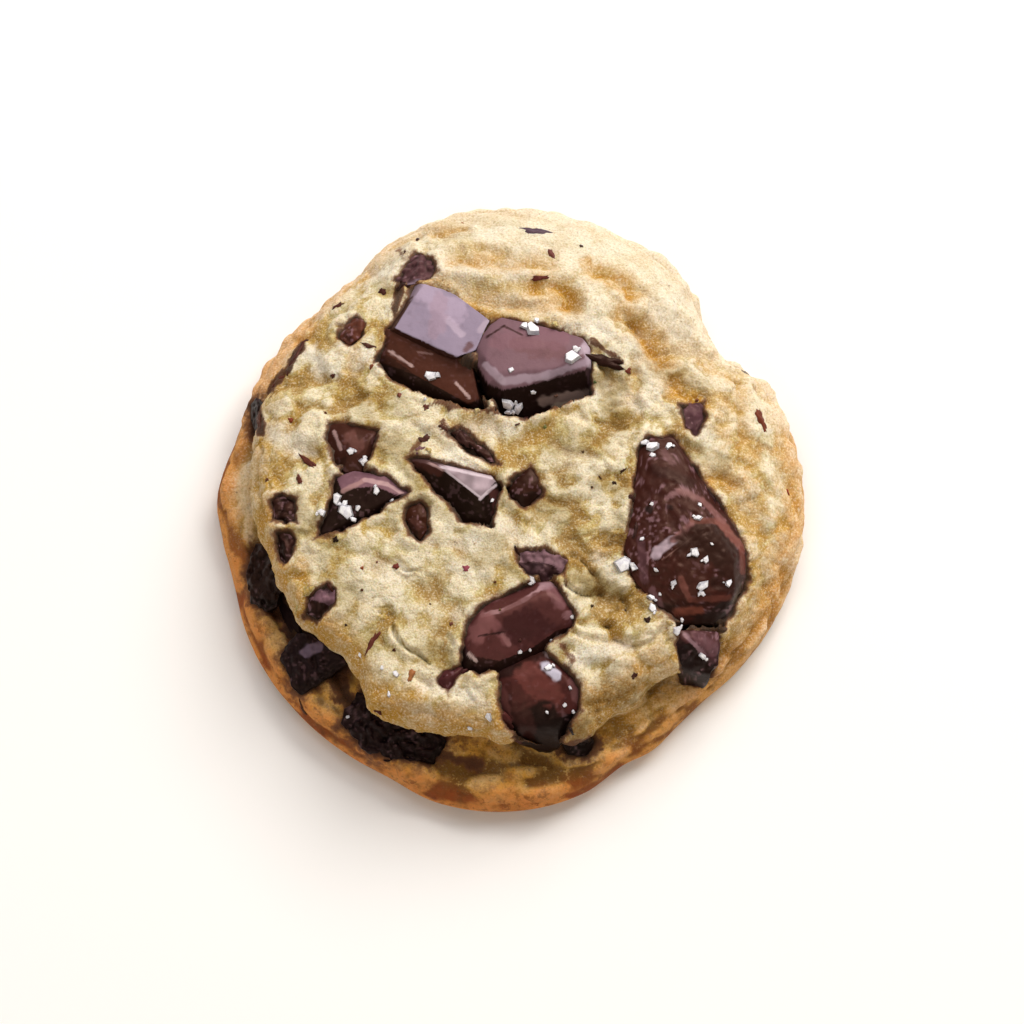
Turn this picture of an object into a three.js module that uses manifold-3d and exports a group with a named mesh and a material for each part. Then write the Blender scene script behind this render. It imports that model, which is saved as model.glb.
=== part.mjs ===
// Chocolate chip cookie: a thick drop cookie about 88 mm across with a craggy top.
// Broken chocolate chunks stand in pockets of the dough, and the dough's lower left side
// is a rolled lip that overhangs a wider skirt. Millimetres, +Z up, resting on z = 0,
// with the middle of the plan at the origin.
import * as THREE from 'three';
import { ConvexGeometry } from 'three/addons/geometries/ConvexGeometry.js';
import { mergeVertices } from 'three/addons/utils/BufferGeometryUtils.js';
import Module from 'manifold-3d';

const wasm = await Module();
wasm.setup();

// Driving dimensions
const CROWN = 18.5;          // height of the dough in the middle
const POLE = [0.2, -0.9];    // where the round profile turns about
const GAP = 0.32;            // clearance between a chunk and the dough round it
const TOP_RINGS = 20;        // rings of the dough's mesh from the middle to the shoulder
const SIDE_RINGS = 13;       // rings from the shoulder down to the base
const CRAGS_ABOVE = 9;       // the mounds and creases are on what is higher than this
const FOOT_TAPER = 0.8;      // a chunk's buried foot as a share of its outline
const FOOT_FLOOR = 2.2;      // the lowest that a chunk's foot goes
const SKY = 32;              // the pockets are open up to here, above everything
const CHIP_SINK = 0.9;       // how far a small chip goes down into the dough
const CHIP_RISE = 0.35;      // how far it stands out
const CHIP_TOP = 0.7;        // its top as a share of its outline

// Rim radius by direction (degrees from +X), the widest of the cookie as it is seen from above
const RIM = [
  [0, 43.8], [12, 43.7], [22, 43.4], [30, 42.2], [35, 40.3], [40, 40.4], [46, 41.6],
  [54, 44.6], [66, 45.8], [80, 47.0], [95, 47.4], [108, 46.9], [116, 45.5], [124, 43.4],
  [138, 42.8], [150, 42.9], [157, 42.8], [164, 42.9], [176, 44.3], [186, 43.5], [193, 42.9],
  [201, 43.3], [210, 43.9], [220, 44.1], [230, 44.2], [238, 44.2], [246, 44.3], [256, 45.5],
  [270, 45.5], [284, 44.1], [293, 42.0], [300, 41.9], [307, 40.9], [315, 40.6], [322, 41.3],
  [333, 42.3], [345, 43.1],
];

// Radius of the overhanging lip as a share of the rim's
const LIP = [
  [0, 0.90], [60, 0.90], [120, 0.90], [150, 0.97], [157, 0.96], [164, 0.925], [173, 0.866],
  [181, 0.858], [189, 0.87], [193, 0.848], [202, 0.847], [209, 0.828], [214, 0.816],
  [220, 0.80], [225, 0.78], [229, 0.795], [233, 0.83], [237, 0.867], [242, 0.872],
  [248, 0.85], [254, 0.825], [262, 0.805], [270, 0.803], [278, 0.828], [288, 0.865],
  [297, 0.849], [306, 0.846], [314, 0.885], [320, 0.87], [330, 0.90],
];

// How much of the lip and skirt there is by direction: 0 is a plain round side, 1 a full overhang
const OVERHANG = [
  [0, 0], [60, 0], [120, 0], [148, 0], [158, 0.35], [170, 0.55], [186, 0.75], [194, 1],
  [272, 1], [290, 0.75], [300, 0.7], [312, 0.75], [320, 0.5], [328, 0.1], [340, 0],
];

// Stations along the profile, from the middle of the top out and down to the base
const STATION = [
  0, 0.20, 0.40, 0.54, 0.60, 0.64, 0.68, 0.72, 0.755, 0.79, 0.83, 0.88, 0.92, 0.955, 0.98, 1,
];
const SHOULDER = 0.60;

// Mounds of the top: x, y, reach along x, reach along y, height
const MOUNDS = [
  [-26, 20, 5, 3, 0.6], [-33, 7.5, 4, 3, 0.5], [-18, 8, 4, 5, 0.3], [0, 39, 14, 2.2, 0.5],
  [1, 33.4, 10, 1.6, 0.5], [4, 28.2, 3, 1, 0.6], [14, 28, 3.5, 1.6, 0.5], [24, 26, 5, 3, 0.5],
  [30, 13, 3, 4, 0.4], [12.5, -19.4, 2.6, 1.5, 0.7], [20.5, -21.5, 3.6, 3, 0.8],
  [15, -26, 4.5, 1.4, 0.9], [11, -24.2, 2.8, 2.2, 0.5], [-11, -33, 6, 1.8, 0.8],
  [-20, -19, 5, 5, 0.4], [-6, -12, 5, 3, 0.4], [11, -3, 4, 6, 0.2], [-3, 6, 4, 3, -0.3],
];

// Creases of the top: start, bend, end, half width, depth
const CREASES = [
  [-11.4, 31.3, -4, 26.6, 3.2, 27.1, 1.8, 1.0], [3.7, 30.1, 9.2, 31.2, 8.2, 27.3, 1.4, 0.6],
  [12.5, 33.2, 15, 33, 18.4, 29.6, 1.4, 0.4], [17.4, 26.4, 19.2, 23.4, 22.8, 19.1, 1.4, 0.6],
  [28.5, 19.6, 30.7, 18.1, 33.4, 16.7, 1.4, 0.4], [24.2, 15.1, 26.7, 13.6, 28.4, 11.9, 1.4, 0.5],
  [34, 3.3, 36.2, -1, 36.6, -5, 1.4, 0.4], [-16.7, -21.9, -15, -25, -11.7, -27.2, 1.4, 0.5],
  [-14, -30, -11.8, -31.2, -8.3, -30.9, 1.4, 0.3], [10.7, -21, 12.2, -22, 15, -21.4, 1.4, 0.4],
  [14.6, -21.6, 14.6, -24.3, 18.4, -24.4, 1.4, 0.4], [16.2, -16.3, 16.4, -18, 17.5, -19.8, 1.4, 0.3],
];

/** Value of a closed curve through [direction, value] pairs, by cubic pieces. */
function around(table, degrees) {
  const n = table.length;
  const d = ((degrees % 360) + 360) % 360;
  const at = (i) => {
    const turn = Math.floor(i / n);
    const pair = table[i - turn * n];
    return [pair[0] + 360 * turn, pair[1]];
  };
  let i = n - 1;
  while (i > 0 && table[i][0] > d) {
    i -= 1;
  }
  const [a, b, c, e] = [at(i - 1), at(i), at(i + 1), at(i + 2)];
  const h = c[0] - b[0];
  const t = (d - b[0]) / h;
  const m1 = ((c[1] - a[1]) / (c[0] - a[0])) * h;
  const m2 = ((e[1] - b[1]) / (e[0] - b[0])) * h;
  return (2 * t ** 3 - 3 * t ** 2 + 1) * b[1] + (t ** 3 - 2 * t ** 2 + t) * m1
    + (-2 * t ** 3 + 3 * t ** 2) * c[1] + (t ** 3 - t ** 2) * m2;
}

/** Profile points [r, z] at the stations in one direction. */
function profileStations(degrees) {
  const R = around(RIM, degrees);
  const L = around(LIP, degrees) * R;
  const k = Math.min(1, Math.max(0, around(OVERHANG, degrees)));
  const lip = [
    [0, CROWN], [0.37 * L, CROWN - 0.3], [0.70 * L, CROWN - 1.1], [L - 3.2, 16.2],
    [L - 1.3, 15.2], [L - 0.2, 13.4], [L, 11.6], [L - 0.7, 9.8], [L - 1.9, 8.2],
    [L - 1.6, 6.9], [L + 0.6, 6.5], [0.55 * L + 0.45 * R, 6.7], [R - 1.7, 5.6], [R, 3.2],
    [R - 0.5, 1.1], [R - 1.7, 0],
  ];
  const plain = [
    [0, CROWN], [0.33 * R, CROWN - 0.3], [0.60 * R, CROWN - 1.3], [0.76 * R, 15.3],
    [0.825 * R, 14.1], [0.865 * R, 13.1], [0.895 * R, 12.1], [0.925 * R, 10.9],
    [0.948 * R, 9.7], [0.966 * R, 8.5], [0.98 * R, 7.2], [0.99 * R, 5.9], [0.998 * R, 4.6],
    [R, 3.2], [R - 0.5, 1.1], [R - 1.7, 0],
  ];
  return lip.map((p, i) => [k * p[0] + (1 - k) * plain[i][0], k * p[1] + (1 - k) * plain[i][1]]);
}

/** Point [r, z] and outward normal of the profile at share s of its length. */
function profile(s, degrees) {
  const p = profileStations(degrees);
  let i = 0;
  while (i < STATION.length - 2 && STATION[i + 1] <= s) {
    i += 1;
  }
  const last = STATION.length - 1;
  const lo = Math.max(i - 1, 0);
  const hi = Math.min(i + 2, last);
  const h = STATION[i + 1] - STATION[i];
  const t = (s - STATION[i]) / h;
  const value = [0, 0];
  const slope = [0, 0];
  for (let c = 0; c < 2; c += 1) {
    const m1 = i > 0 ? ((p[i + 1][c] - p[lo][c]) / (STATION[i + 1] - STATION[lo])) * h : 0;
    const m2 = ((p[hi][c] - p[i][c]) / (STATION[hi] - STATION[i])) * h;
    value[c] = (2 * t ** 3 - 3 * t ** 2 + 1) * p[i][c] + (t ** 3 - 2 * t ** 2 + t) * m1
      + (-2 * t ** 3 + 3 * t ** 2) * p[i + 1][c] + (t ** 3 - t ** 2) * m2;
    slope[c] = (6 * t ** 2 - 6 * t) * (p[i][c] - p[i + 1][c]) + (3 * t ** 2 - 4 * t + 1) * m1
      + (3 * t ** 2 - 2 * t) * m2;
  }
  if (s === 0) {
    return { r: 0, z: CROWN, nr: 0, nz: 1 };
  }
  const len = Math.hypot(slope[0], slope[1]) || 1;
  return { r: value[0], z: value[1], nr: -slope[1] / len, nz: slope[0] / len };
}

/** Distance from (x, y) to a bent line, as the nearest of short straight pieces. */
function distanceToBend(x, y, c) {
  let best = Infinity;
  const at = (t) => {
    const [a, b, e] = [(1 - t) ** 2, 2 * t * (1 - t), t ** 2];
    return [a * c[0] + b * c[2] + e * c[4], a * c[1] + b * c[3] + e * c[5]];
  };
  let from = at(0);
  for (let i = 1; i <= 6; i += 1) {
    const to = at(i / 6);
    const [dx, dy] = [to[0] - from[0], to[1] - from[1]];
    let t = ((x - from[0]) * dx + (y - from[1]) * dy) / (dx * dx + dy * dy);
    t = Math.min(1, Math.max(0, t));
    best = Math.min(best, Math.hypot(x - from[0] - t * dx, y - from[1] - t * dy));
    from = to;
  }
  return best;
}

/** Height of the crags above the smooth profile. */
function relief(x, y, z) {
  let h = 0.20 * Math.sin(0.55 * x + 1.3) * Math.sin(0.48 * y + 0.4)
    + 0.14 * Math.sin(0.9 * x - 0.6 * y + 0.5 * z) + 0.12 * Math.sin(0.7 * x + 1.1 * y - 0.8 * z + 2);
  for (const [mx, my, rx, ry, rise] of MOUNDS) {
    const q = ((x - mx) / rx) ** 2 + ((y - my) / ry) ** 2;
    h += z > CRAGS_ABOVE ? rise * Math.exp(-q) : 0;
  }
  for (const c of CREASES) {
    if (z > CRAGS_ABOVE) {
      h -= c[7] * Math.exp(-((distanceToBend(x, y, c) / c[6]) ** 2));
    }
  }
  return h;
}

/** A point of the dough's skin at profile share s in one direction. */
function skin(s, degrees) {
  const p = profile(s, degrees);
  const a = THREE.MathUtils.degToRad(degrees);
  const fade = Math.min(1, Math.max(0, (0.97 - s) / 0.08));
  const h = fade * relief(POLE[0] + p.r * Math.cos(a), POLE[1] + p.r * Math.sin(a), p.z);
  const r = p.r + p.nr * h;
  return [POLE[0] + r * Math.cos(a), POLE[1] + r * Math.sin(a), p.z + p.nz * h];
}

/** The dough: a square grid bent to a round top, then rings down the side and a flat base. */
function doughGeometry() {
  const positions = [];
  const indices = [];
  const M = TOP_RINGS;
  const W = 2 * M + 1;
  for (let j = -M; j <= M; j += 1) {
    for (let i = -M; i <= M; i += 1) {
      const wide = Math.abs(i) >= Math.abs(j);
      const reach = Math.max(Math.abs(i), Math.abs(j)) / M;
      let a = 0;
      if (reach > 0) {
        a = wide ? 45 * (j / i) + (i < 0 ? 180 : 0) : 90 - 45 * (i / j) + (j < 0 ? 180 : 0);
      }
      positions.push(...skin(SHOULDER * reach, a));
    }
  }
  for (let j = 0; j < W - 1; j += 1) {
    for (let i = 0; i < W - 1; i += 1) {
      const [a, b, c, d] = [j * W + i, j * W + i + 1, (j + 1) * W + i + 1, (j + 1) * W + i];
      indices.push(a, b, c, a, c, d);
    }
  }
  // the edge of the square grid, counterclockwise from the middle of its +X side
  const edge = [];
  for (let k = 0; k < 8 * M; k += 1) {
    const q = (k + M) % (8 * M);
    const side = Math.floor(q / (2 * M));
    const t = q % (2 * M);
    const cell = [[W - 1, t], [W - 1 - t, W - 1], [0, W - 1 - t], [t, 0]][side];
    edge.push([cell[1] * W + cell[0], (k / (8 * M)) * 360]);
  }
  let ring = edge.map((e) => e[0]);
  for (let k = 1; k <= SIDE_RINGS; k += 1) {
    const s = SHOULDER + (1 - SHOULDER) * (k / SIDE_RINGS);
    const next = edge.map((e) => {
      positions.push(...skin(s, e[1]));
      return positions.length / 3 - 1;
    });
    for (let i = 0; i < ring.length; i += 1) {
      const n = (i + 1) % ring.length;
      indices.push(ring[i], next[i], next[n], ring[i], next[n], ring[n]);
    }
    ring = next;
  }
  positions.push(POLE[0], POLE[1], 0);
  const middle = positions.length / 3 - 1;
  for (let i = 0; i < ring.length; i += 1) {
    indices.push(middle, ring[(i + 1) % ring.length], ring[i]);
  }
  const g = new THREE.BufferGeometry();
  g.setAttribute('position', new THREE.Float32BufferAttribute(positions, 3));
  g.setIndex(indices);
  return g;
}

/** A solid for adding and cutting, from a closed geometry. */
function solid(geometry) {
  const bare = geometry.clone();
  bare.deleteAttribute('normal');
  bare.deleteAttribute('uv');
  const g = mergeVertices(bare, 1e-4);
  return new wasm.Manifold(new wasm.Mesh({
    numProp: 3,
    vertProperties: new Float32Array(g.attributes.position.array),
    triVerts: new Uint32Array(g.index.array),
  }));
}

/** A geometry with flat faces from a solid. */
function faceted(body) {
  const mesh = body.getMesh();
  const g = new THREE.BufferGeometry();
  g.setAttribute('position', new THREE.BufferAttribute(new Float32Array(mesh.vertProperties), 3));
  g.setIndex(new THREE.BufferAttribute(new Uint32Array(mesh.triVerts), 1));
  const flat = g.toNonIndexed();
  flat.computeVertexNormals();
  return flat;
}

/** The faceted block about a set of corners: their convex hull. */
function block(corners) {
  return new ConvexGeometry(corners.map((c) => new THREE.Vector3(...c)));
}

/** Corners of a chunk's buried foot, a little inside its outline. */
function foot(corners, depth) {
  const n = corners.length;
  const cx = corners.reduce((sum, c) => sum + c[0], 0) / n;
  const cy = corners.reduce((sum, c) => sum + c[1], 0) / n;
  const low = Math.min(...corners.map((c) => c[2])) - depth;
  return corners.map((c) => [
    cx + FOOT_TAPER * (c[0] - cx),
    cy + FOOT_TAPER * (c[1] - cy),
    Math.max(low, FOOT_FLOOR),
  ]);
}

/** The room a chunk needs: its corners grown by the gap, open to the sky unless it is tucked in. */
function room(corners, tucked) {
  const grown = [];
  for (const [x, y, z] of corners) {
    for (const [dx, dy] of [[GAP, GAP], [-GAP, GAP], [-GAP, -GAP], [GAP, -GAP]]) {
      grown.push([x + dx, y + dy, z - GAP]);
      grown.push([x + dx, y + dy, tucked ? z + GAP : SKY]);
    }
  }
  return block(grown);
}

/** Height of a geometry's highest surface over (x, y). */
function heightOver(geometry, x, y) {
  const g = geometry.index ? geometry.toNonIndexed() : geometry;
  const p = g.attributes.position;
  let best = -Infinity;
  for (let i = 0; i < p.count; i += 3) {
    const [ax, ay, bx, by] = [p.getX(i), p.getY(i), p.getX(i + 1), p.getY(i + 1)];
    const [cx, cy] = [p.getX(i + 2), p.getY(i + 2)];
    const area = (bx - ax) * (cy - ay) - (cx - ax) * (by - ay);
    if (Math.abs(area) > 1e-9) {
      const u = ((x - ax) * (cy - ay) - (cx - ax) * (y - ay)) / area;
      const v = ((bx - ax) * (y - ay) - (x - ax) * (by - ay)) / area;
      if (u >= -1e-9 && v >= -1e-9 && u + v <= 1 + 1e-9) {
        best = Math.max(best, p.getZ(i) + u * (p.getZ(i + 1) - p.getZ(i)) + v * (p.getZ(i + 2) - p.getZ(i)));
      }
    }
  }
  return best;
}

/** A flake of salt: a small tilted crystal half sunk in the surface it lies on. */
function flake(x, y, z, size, turn) {
  const g = new THREE.BoxGeometry(size, 0.78 * size, 0.62 * size);
  const tilt = new THREE.Euler(0.22 * Math.sin(turn), 0.25 * Math.cos(turn), turn);
  g.applyMatrix4(new THREE.Matrix4().makeRotationFromEuler(tilt));
  g.translate(x, y, z + 0.08 * size);
  return g;
}

/** A chip of chocolate pressed into the dough, long from one end to the other. */
function chip(x0, y0, x1, y1, wide, skinOf) {
  const long = Math.hypot(x1 - x0, y1 - y0);
  const [ux, uy] = [(x1 - x0) / long, (y1 - y0) / long];
  const corners = [];
  for (const [along, across] of [[-1, 0], [-0.5, 1], [0.5, 0.9], [1, 0], [0.5, -0.9], [-0.5, -1]]) {
    for (const [share, rise] of [[1, -CHIP_SINK], [CHIP_TOP, CHIP_RISE]]) {
      const a = (share * along * long) / 2;
      const b = (share * across * wide) / 2;
      const x = (x0 + x1) / 2 + a * ux - b * uy;
      const y = (y0 + y1) / 2 + a * uy + b * ux;
      corners.push([x, y, heightOver(skinOf, x, y) + rise]);
    }
  }
  return block(corners);
}

// Chunks: name, depth below the outline, tucked under the lip or not, tone, corners [x, y, z]
const DARK = '#2a1712';
const BROWN = '#48281e';
const BLOOM = '#7b6068';
const CHUNKS = [
  ['chunk_centre_slab', 2.4, false, BLOOM, [
    [-3.0, 21.2, 19.3], [8.8, 20.4, 19.4], [10.5, 18.6, 19.7], [6.8, 16.8, 20.0],
    [-1.2, 15.7, 20.0], [-3.6, 18.3, 19.6], [-4.9, 20.5, 18.5], [-3.0, 23.7, 18.3],
    [-1.1, 24.8, 18.2], [7.4, 22.9, 18.4], [10.6, 21.6, 18.5], [11.7, 20.2, 18.6],
    [11.8, 17.8, 18.8], [11.1, 16.7, 18.9], [2.9, 14.3, 19.1], [-1.1, 13.6, 19.0],
    [-3.3, 14.6, 18.8], [-4.6, 17.1, 18.6], [-3.3, 13.1, 14.4], [-1.1, 10.3, 13.8],
    [2.2, 9.7, 13.8], [4.9, 12.2, 14.2], [12.1, 13.5, 15.0],
  ]],
  ['chunk_back_slab', 2.6, false, '#a08d9d', [
    [-13.1, 30.4, 17.3], [-8.9, 28.9, 17.6], [-3.4, 24.5, 18.6], [-5.3, 19.9, 19.0],
    [-8.2, 18.9, 18.8], [-17.2, 23.6, 17.7], [-14.1, 30.8, 15.6], [-18.3, 23.5, 15.9],
  ]],
  ['chunk_back_ledge', 2.4, false, BROWN, [
    [-17.8, 23.2, 17.0], [-8.2, 19.1, 17.6], [-5.4, 16.8, 17.6], [-4.6, 12.9, 17.0],
    [-6.2, 12.2, 16.9], [-14.1, 16.8, 16.6], [-18.4, 20.2, 16.2], [-19.5, 19.2, 15.4],
    [-19.7, 18.6, 14.6], [-17.4, 15.7, 14.0], [-13.4, 13.7, 13.8], [-10.4, 12.7, 13.6],
    [-6.0, 11.5, 13.6], [-3.6, 11.5, 13.6],
  ]],
  ['chunk_right_square', 3.2, false, '#3c2520', [
    [22.3, -12.0, 19.6], [27.4, -8.1, 19.6], [29.5, -8.1, 19.3], [32.7, -12.3, 17.8],
    [32.6, -17.1, 16.6], [26.2, -17.3, 18.4], [21.0, -10.5, 19.2], [26.3, -6.5, 19.2],
    [21.3, 3.7, 18.8], [23.8, 1.4, 18.9], [20.6, 6.6, 17.7], [23.9, 7.0, 17.5],
    [33.2, -6.9, 15.8], [34.7, -10.1, 15.0], [34.6, -13.7, 14.4], [33.9, -15.7, 13.9],
    [32.4, -18.9, 13.4], [29.9, -20.7, 14.2], [25.4, -21.2, 15.8], [21.1, -18.7, 17.0],
    [17.8, -14.3, 18.0], [16.9, -10.6, 18.2], [17.5, -7.6, 18.3], [19.1, 4.7, 18.0],
  ]],
  ['chunk_right_edge', 1.6, false, '#4a2c2c', [
    [24.8, -22.1, 16.2], [27.7, -22.0, 15.8], [30.0, -21.7, 14.2], [30.3, -23.8, 13.8],
    [29.9, -26.1, 13.0], [28.9, -27.6, 11.8], [27.8, -28.1, 9.0], [26.5, -28.0, 9.0],
    [25.2, -27.3, 12.0], [24.2, -24.7, 15.8], [27.0, -23.7, 16.4], [28.9, -24.8, 14.8],
  ]],
  ['chunk_front_wedge', 3.2, false, '#5a3230', [
    [-3.8, -21.0, 19.5], [0.7, -19.3, 19.9], [5.5, -17.2, 19.8], [8.1, -19.5, 19.0],
    [-5.8, -26.3, 18.2], [-1.5, -27.0, 18.0], [2.9, -25.3, 18.1], [6.7, -22.6, 18.3],
    [-6.9, -23.9, 17.2], [-5.8, -20.9, 17.5], [-4.1, -18.7, 17.6], [2.9, -15.6, 17.8],
    [5.7, -15.3, 17.8], [7.4, -16.4, 17.8], [9.3, -20.1, 17.3], [8.9, -21.7, 17.1],
    [5.1, -25.0, 16.8], [-0.7, -28.0, 16.4], [-4.4, -28.6, 16.4], [-6.7, -27.6, 16.7],
  ]],
  ['chunk_front_spill', 2.2, false, '#4c2522', [
    [0.3, -30.3, 17.9], [4.3, -29.2, 18.4], [6.2, -27.7, 18.5], [8.4, -31.4, 17.8],
    [8.7, -34.4, 16.3], [7.3, -36.4, 14.4], [2.9, -36.4, 14.8], [0.3, -34.1, 16.4],
    [-1.5, -28.5, 16.8], [5.1, -25.6, 17.1], [7.3, -28.6, 17.0], [10.0, -30.4, 16.5],
    [10.0, -33.8, 15.2], [8.6, -36.3, 12.6], [6.9, -38.0, 9.8], [5.3, -38.4, 9.6],
    [1.4, -37.6, 11.2], [-0.5, -36.2, 13.6], [-1.5, -32.5, 16.0],
  ]],
  ['chunk_left_upper', 3.4, false, BROWN, [
    [-26.6, 8.8, 17.0], [-24.4, 8.9, 17.3], [-19.6, 7.5, 17.7], [-20.6, 4.0, 17.8],
    [-21.8, 1.6, 17.6], [-24.3, 1.7, 17.3], [-25.9, 3.4, 17.1], [-26.9, 6.5, 17.0],
    [-25.1, 7.1, 18.2], [-20.5, 6.4, 18.5], [-21.3, 3.8, 18.5], [-24.1, 3.7, 18.2],
  ]],
  ['chunk_left_wedge', 2.6, false, DARK, [
    [-25.5, 0.5, 17.5], [-22.8, 1.4, 17.8], [-19.1, 0.9, 18.0], [-15.0, -1.9, 18.0],
    [-24.8, -1.5, 18.7], [-19.8, -1.1, 19.1], [-16.6, -2.4, 18.8], [-19.1, -4.5, 16.4],
    [-22.1, -5.7, 16.2], [-24.3, -7.1, 16.0], [-28.1, -8.1, 16.2], [-27.3, -6.4, 16.6],
  ]],
  ['chunk_middle', 2.8, false, DARK, [
    [-15.2, 3.4, 17.6], [-13.8, 3.6, 17.9], [-10.3, 2.2, 18.3], [-2.7, 0.6, 18.5],
    [-1.3, -1.3, 18.1], [-1.6, -2.6, 17.7], [-2.7, -7.0, 16.8], [-4.7, -6.7, 16.5],
    [-7.1, -6.2, 16.4], [-8.4, -4.2, 16.4], [-11.2, 0.2, 17.0], [-13.3, 1.8, 17.4],
    [-10.1, 1.6, 19.2], [-2.8, 0.0, 19.6], [-2.1, -0.5, 19.5], [-4.4, -3.1, 19.2],
  ]],
  ['chunk_diamond', 3.4, false, '#321c12', [
    [2.9, 2.0, 18.4], [4.1, 0.3, 18.4], [4.5, -1.8, 18.1], [2.2, -4.0, 17.8],
    [0.1, -2.9, 17.8], [-0.3, -1.2, 18.1], [1.2, 0.5, 18.3], [1.9, -0.5, 19.0],
    [3.2, -1.7, 18.9], [1.4, -2.3, 18.8],
  ]],
  ['chunk_strip', 2.6, false, DARK, [
    [-9.3, 7.5, 18.2], [-7.4, 8.1, 18.3], [-2.7, 4.3, 18.4], [-1.8, 2.5, 18.2],
    [-3.0, 2.3, 18.0], [-6.6, 4.9, 18.0], [-7.7, 6.9, 18.9], [-3.3, 3.3, 18.9],
  ]],
  ['chunk_oval', 3.2, false, '#3d211c', [
    [-15.1, -4.2, 18.1], [-13.2, -3.3, 18.2], [-12.0, -4.6, 18.3], [-12.0, -7.6, 18.2],
    [-13.2, -9.2, 18.0], [-14.5, -8.1, 18.0], [-15.6, -5.7, 18.0], [-13.8, -5.5, 18.9],
    [-13.5, -7.4, 18.7],
  ]],
  ['chunk_crumbly', 3.0, false, '#5c434c', [
    [1.3, -10.9, 18.2], [5.1, -10.4, 18.2], [8.2, -12.1, 18.1], [7.4, -14.0, 17.9],
    [5.1, -14.6, 17.9], [2.9, -14.2, 17.9], [1.3, -12.5, 18.1], [3.6, -12.3, 18.9],
    [6.1, -12.8, 18.8],
  ]],
  ['chunk_pitted_back', 3.0, false, '#4b3236', [
    [-14.3, 36.6, 13.9], [-11.6, 35.2, 14.9], [-10.9, 32.7, 15.8], [-12.6, 31.6, 16.2],
    [-15.7, 31.4, 15.7], [-16.9, 32.0, 15.1], [-15.5, 34.7, 14.3], [-13.5, 33.8, 16.2],
  ]],
  ['chunk_pitted_left', 2.8, false, '#4b3236', [
    [-23.0, 26.2, 14.5], [-21.8, 25.0, 15.3], [-22.5, 23.0, 15.7], [-23.9, 21.9, 15.6],
    [-25.5, 23.1, 14.7], [-24.8, 24.9, 14.4], [-23.6, 24.0, 16.2],
  ]],
  ['chunk_lip_upper', 2.8, false, DARK, [
    [-34.8, -2.6, 15.5], [-33.5, -1.8, 15.9], [-31.4, -2.5, 16.3], [-31.5, -5.9, 16.3],
    [-33.1, -6.1, 16.0], [-34.6, -5.4, 15.6], [-33.2, -3.8, 16.8], [-32.8, -5.0, 16.8],
  ]],
  ['chunk_lip_lower', 2.6, false, DARK, [
    [-34.4, -7.3, 15.5], [-32.4, -7.1, 16.0], [-31.6, -8.5, 16.0], [-32.0, -11.0, 15.9],
    [-33.1, -12.1, 15.2], [-34.1, -9.8, 15.0], [-33.0, -8.9, 16.7], [-32.9, -10.1, 16.5],
  ]],
  ['chunk_under_lip', 1.6, true, '#22181a', [
    [-37.6, -7.5, 9.0], [-38.7, -11.2, 8.2], [-38.0, -15.1, 8.0], [-36.2, -16.6, 7.6],
    [-33.7, -8.6, 12.0], [-34.4, -11.2, 11.4], [-33.5, -14.2, 10.8], [-34.9, -15.9, 9.2],
  ]],
  ['chunk_hollow_left', 1.4, true, '#22181a', [
    [-33.4, -23.9, 8.0], [-32.5, -25.6, 7.8], [-31.6, -28.3, 7.6], [-30.6, -28.9, 7.4],
    [-28.4, -27.2, 7.8], [-26.9, -25.9, 8.0], [-31.4, -21.8, 9.4], [-29.6, -21.8, 10.4],
    [-28.3, -23.2, 10.4], [-24.3, -25.4, 10.4],
  ]],
  ['chunk_hollow_front', 1.4, true, '#22181a', [
    [-21.9, -30.2, 9.4], [-21.2, -32.0, 9.6], [-17.3, -35.0, 9.6], [-11.8, -36.3, 9.2],
    [-9.9, -36.8, 8.8], [-24.5, -34.2, 7.6], [-22.5, -35.8, 7.4], [-19.7, -38.4, 7.3],
    [-15.5, -39.0, 7.3], [-12.1, -39.4, 7.3], [-10.8, -38.5, 7.5],
  ]],
  ['chunk_pitted_lip', 2.6, false, '#4b3236', [
    [-29.3, -17.4, 15.9], [-27.8, -16.3, 16.4], [-26.8, -15.0, 16.7], [-25.6, -16.2, 16.8],
    [-26.2, -18.5, 16.6], [-28.1, -20.2, 15.8], [-29.7, -19.3, 15.4], [-27.9, -18.0, 17.2],
  ]],
  ['chunk_small_right', 2.8, false, '#3a201d', [
    [25.3, 11.7, 16.6], [28.3, 12.4, 15.9], [28.7, 10.2, 16.2], [27.7, 7.3, 16.6],
    [26.4, 8.1, 16.8], [25.7, 9.8, 16.8], [26.7, 11.0, 17.2], [27.5, 9.0, 17.2],
  ]],
  ['chunk_rim_left', 1.8, true, '#3a2018', [
    [-39.0, 14.6, 7.6], [-38.1, 15.2, 9.2], [-37.0, 13.8, 11.4], [-36.8, 12.0, 11.8],
    [-37.3, 9.6, 11.4], [-38.2, 10.8, 9.4], [-38.5, 13.3, 8.8],
  ]],
  ['chunk_front_chip', 2.6, false, '#3a1c20', [
    [-10.2, -29.9, 17.1], [-9.3, -28.5, 17.2], [-6.9, -28.0, 17.3], [-7.9, -29.3, 17.3],
    [-9.0, -31.2, 17.1], [-8.7, -29.4, 17.8],
  ]],
  ['chunk_under_right', 1.4, true, '#22181a', [
    [7.9, -36.8, 9.0], [10.1, -36.3, 9.6], [12.0, -36.9, 7.8], [11.0, -38.6, 7.3],
    [8.7, -38.5, 7.4],
  ]],
];

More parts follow.
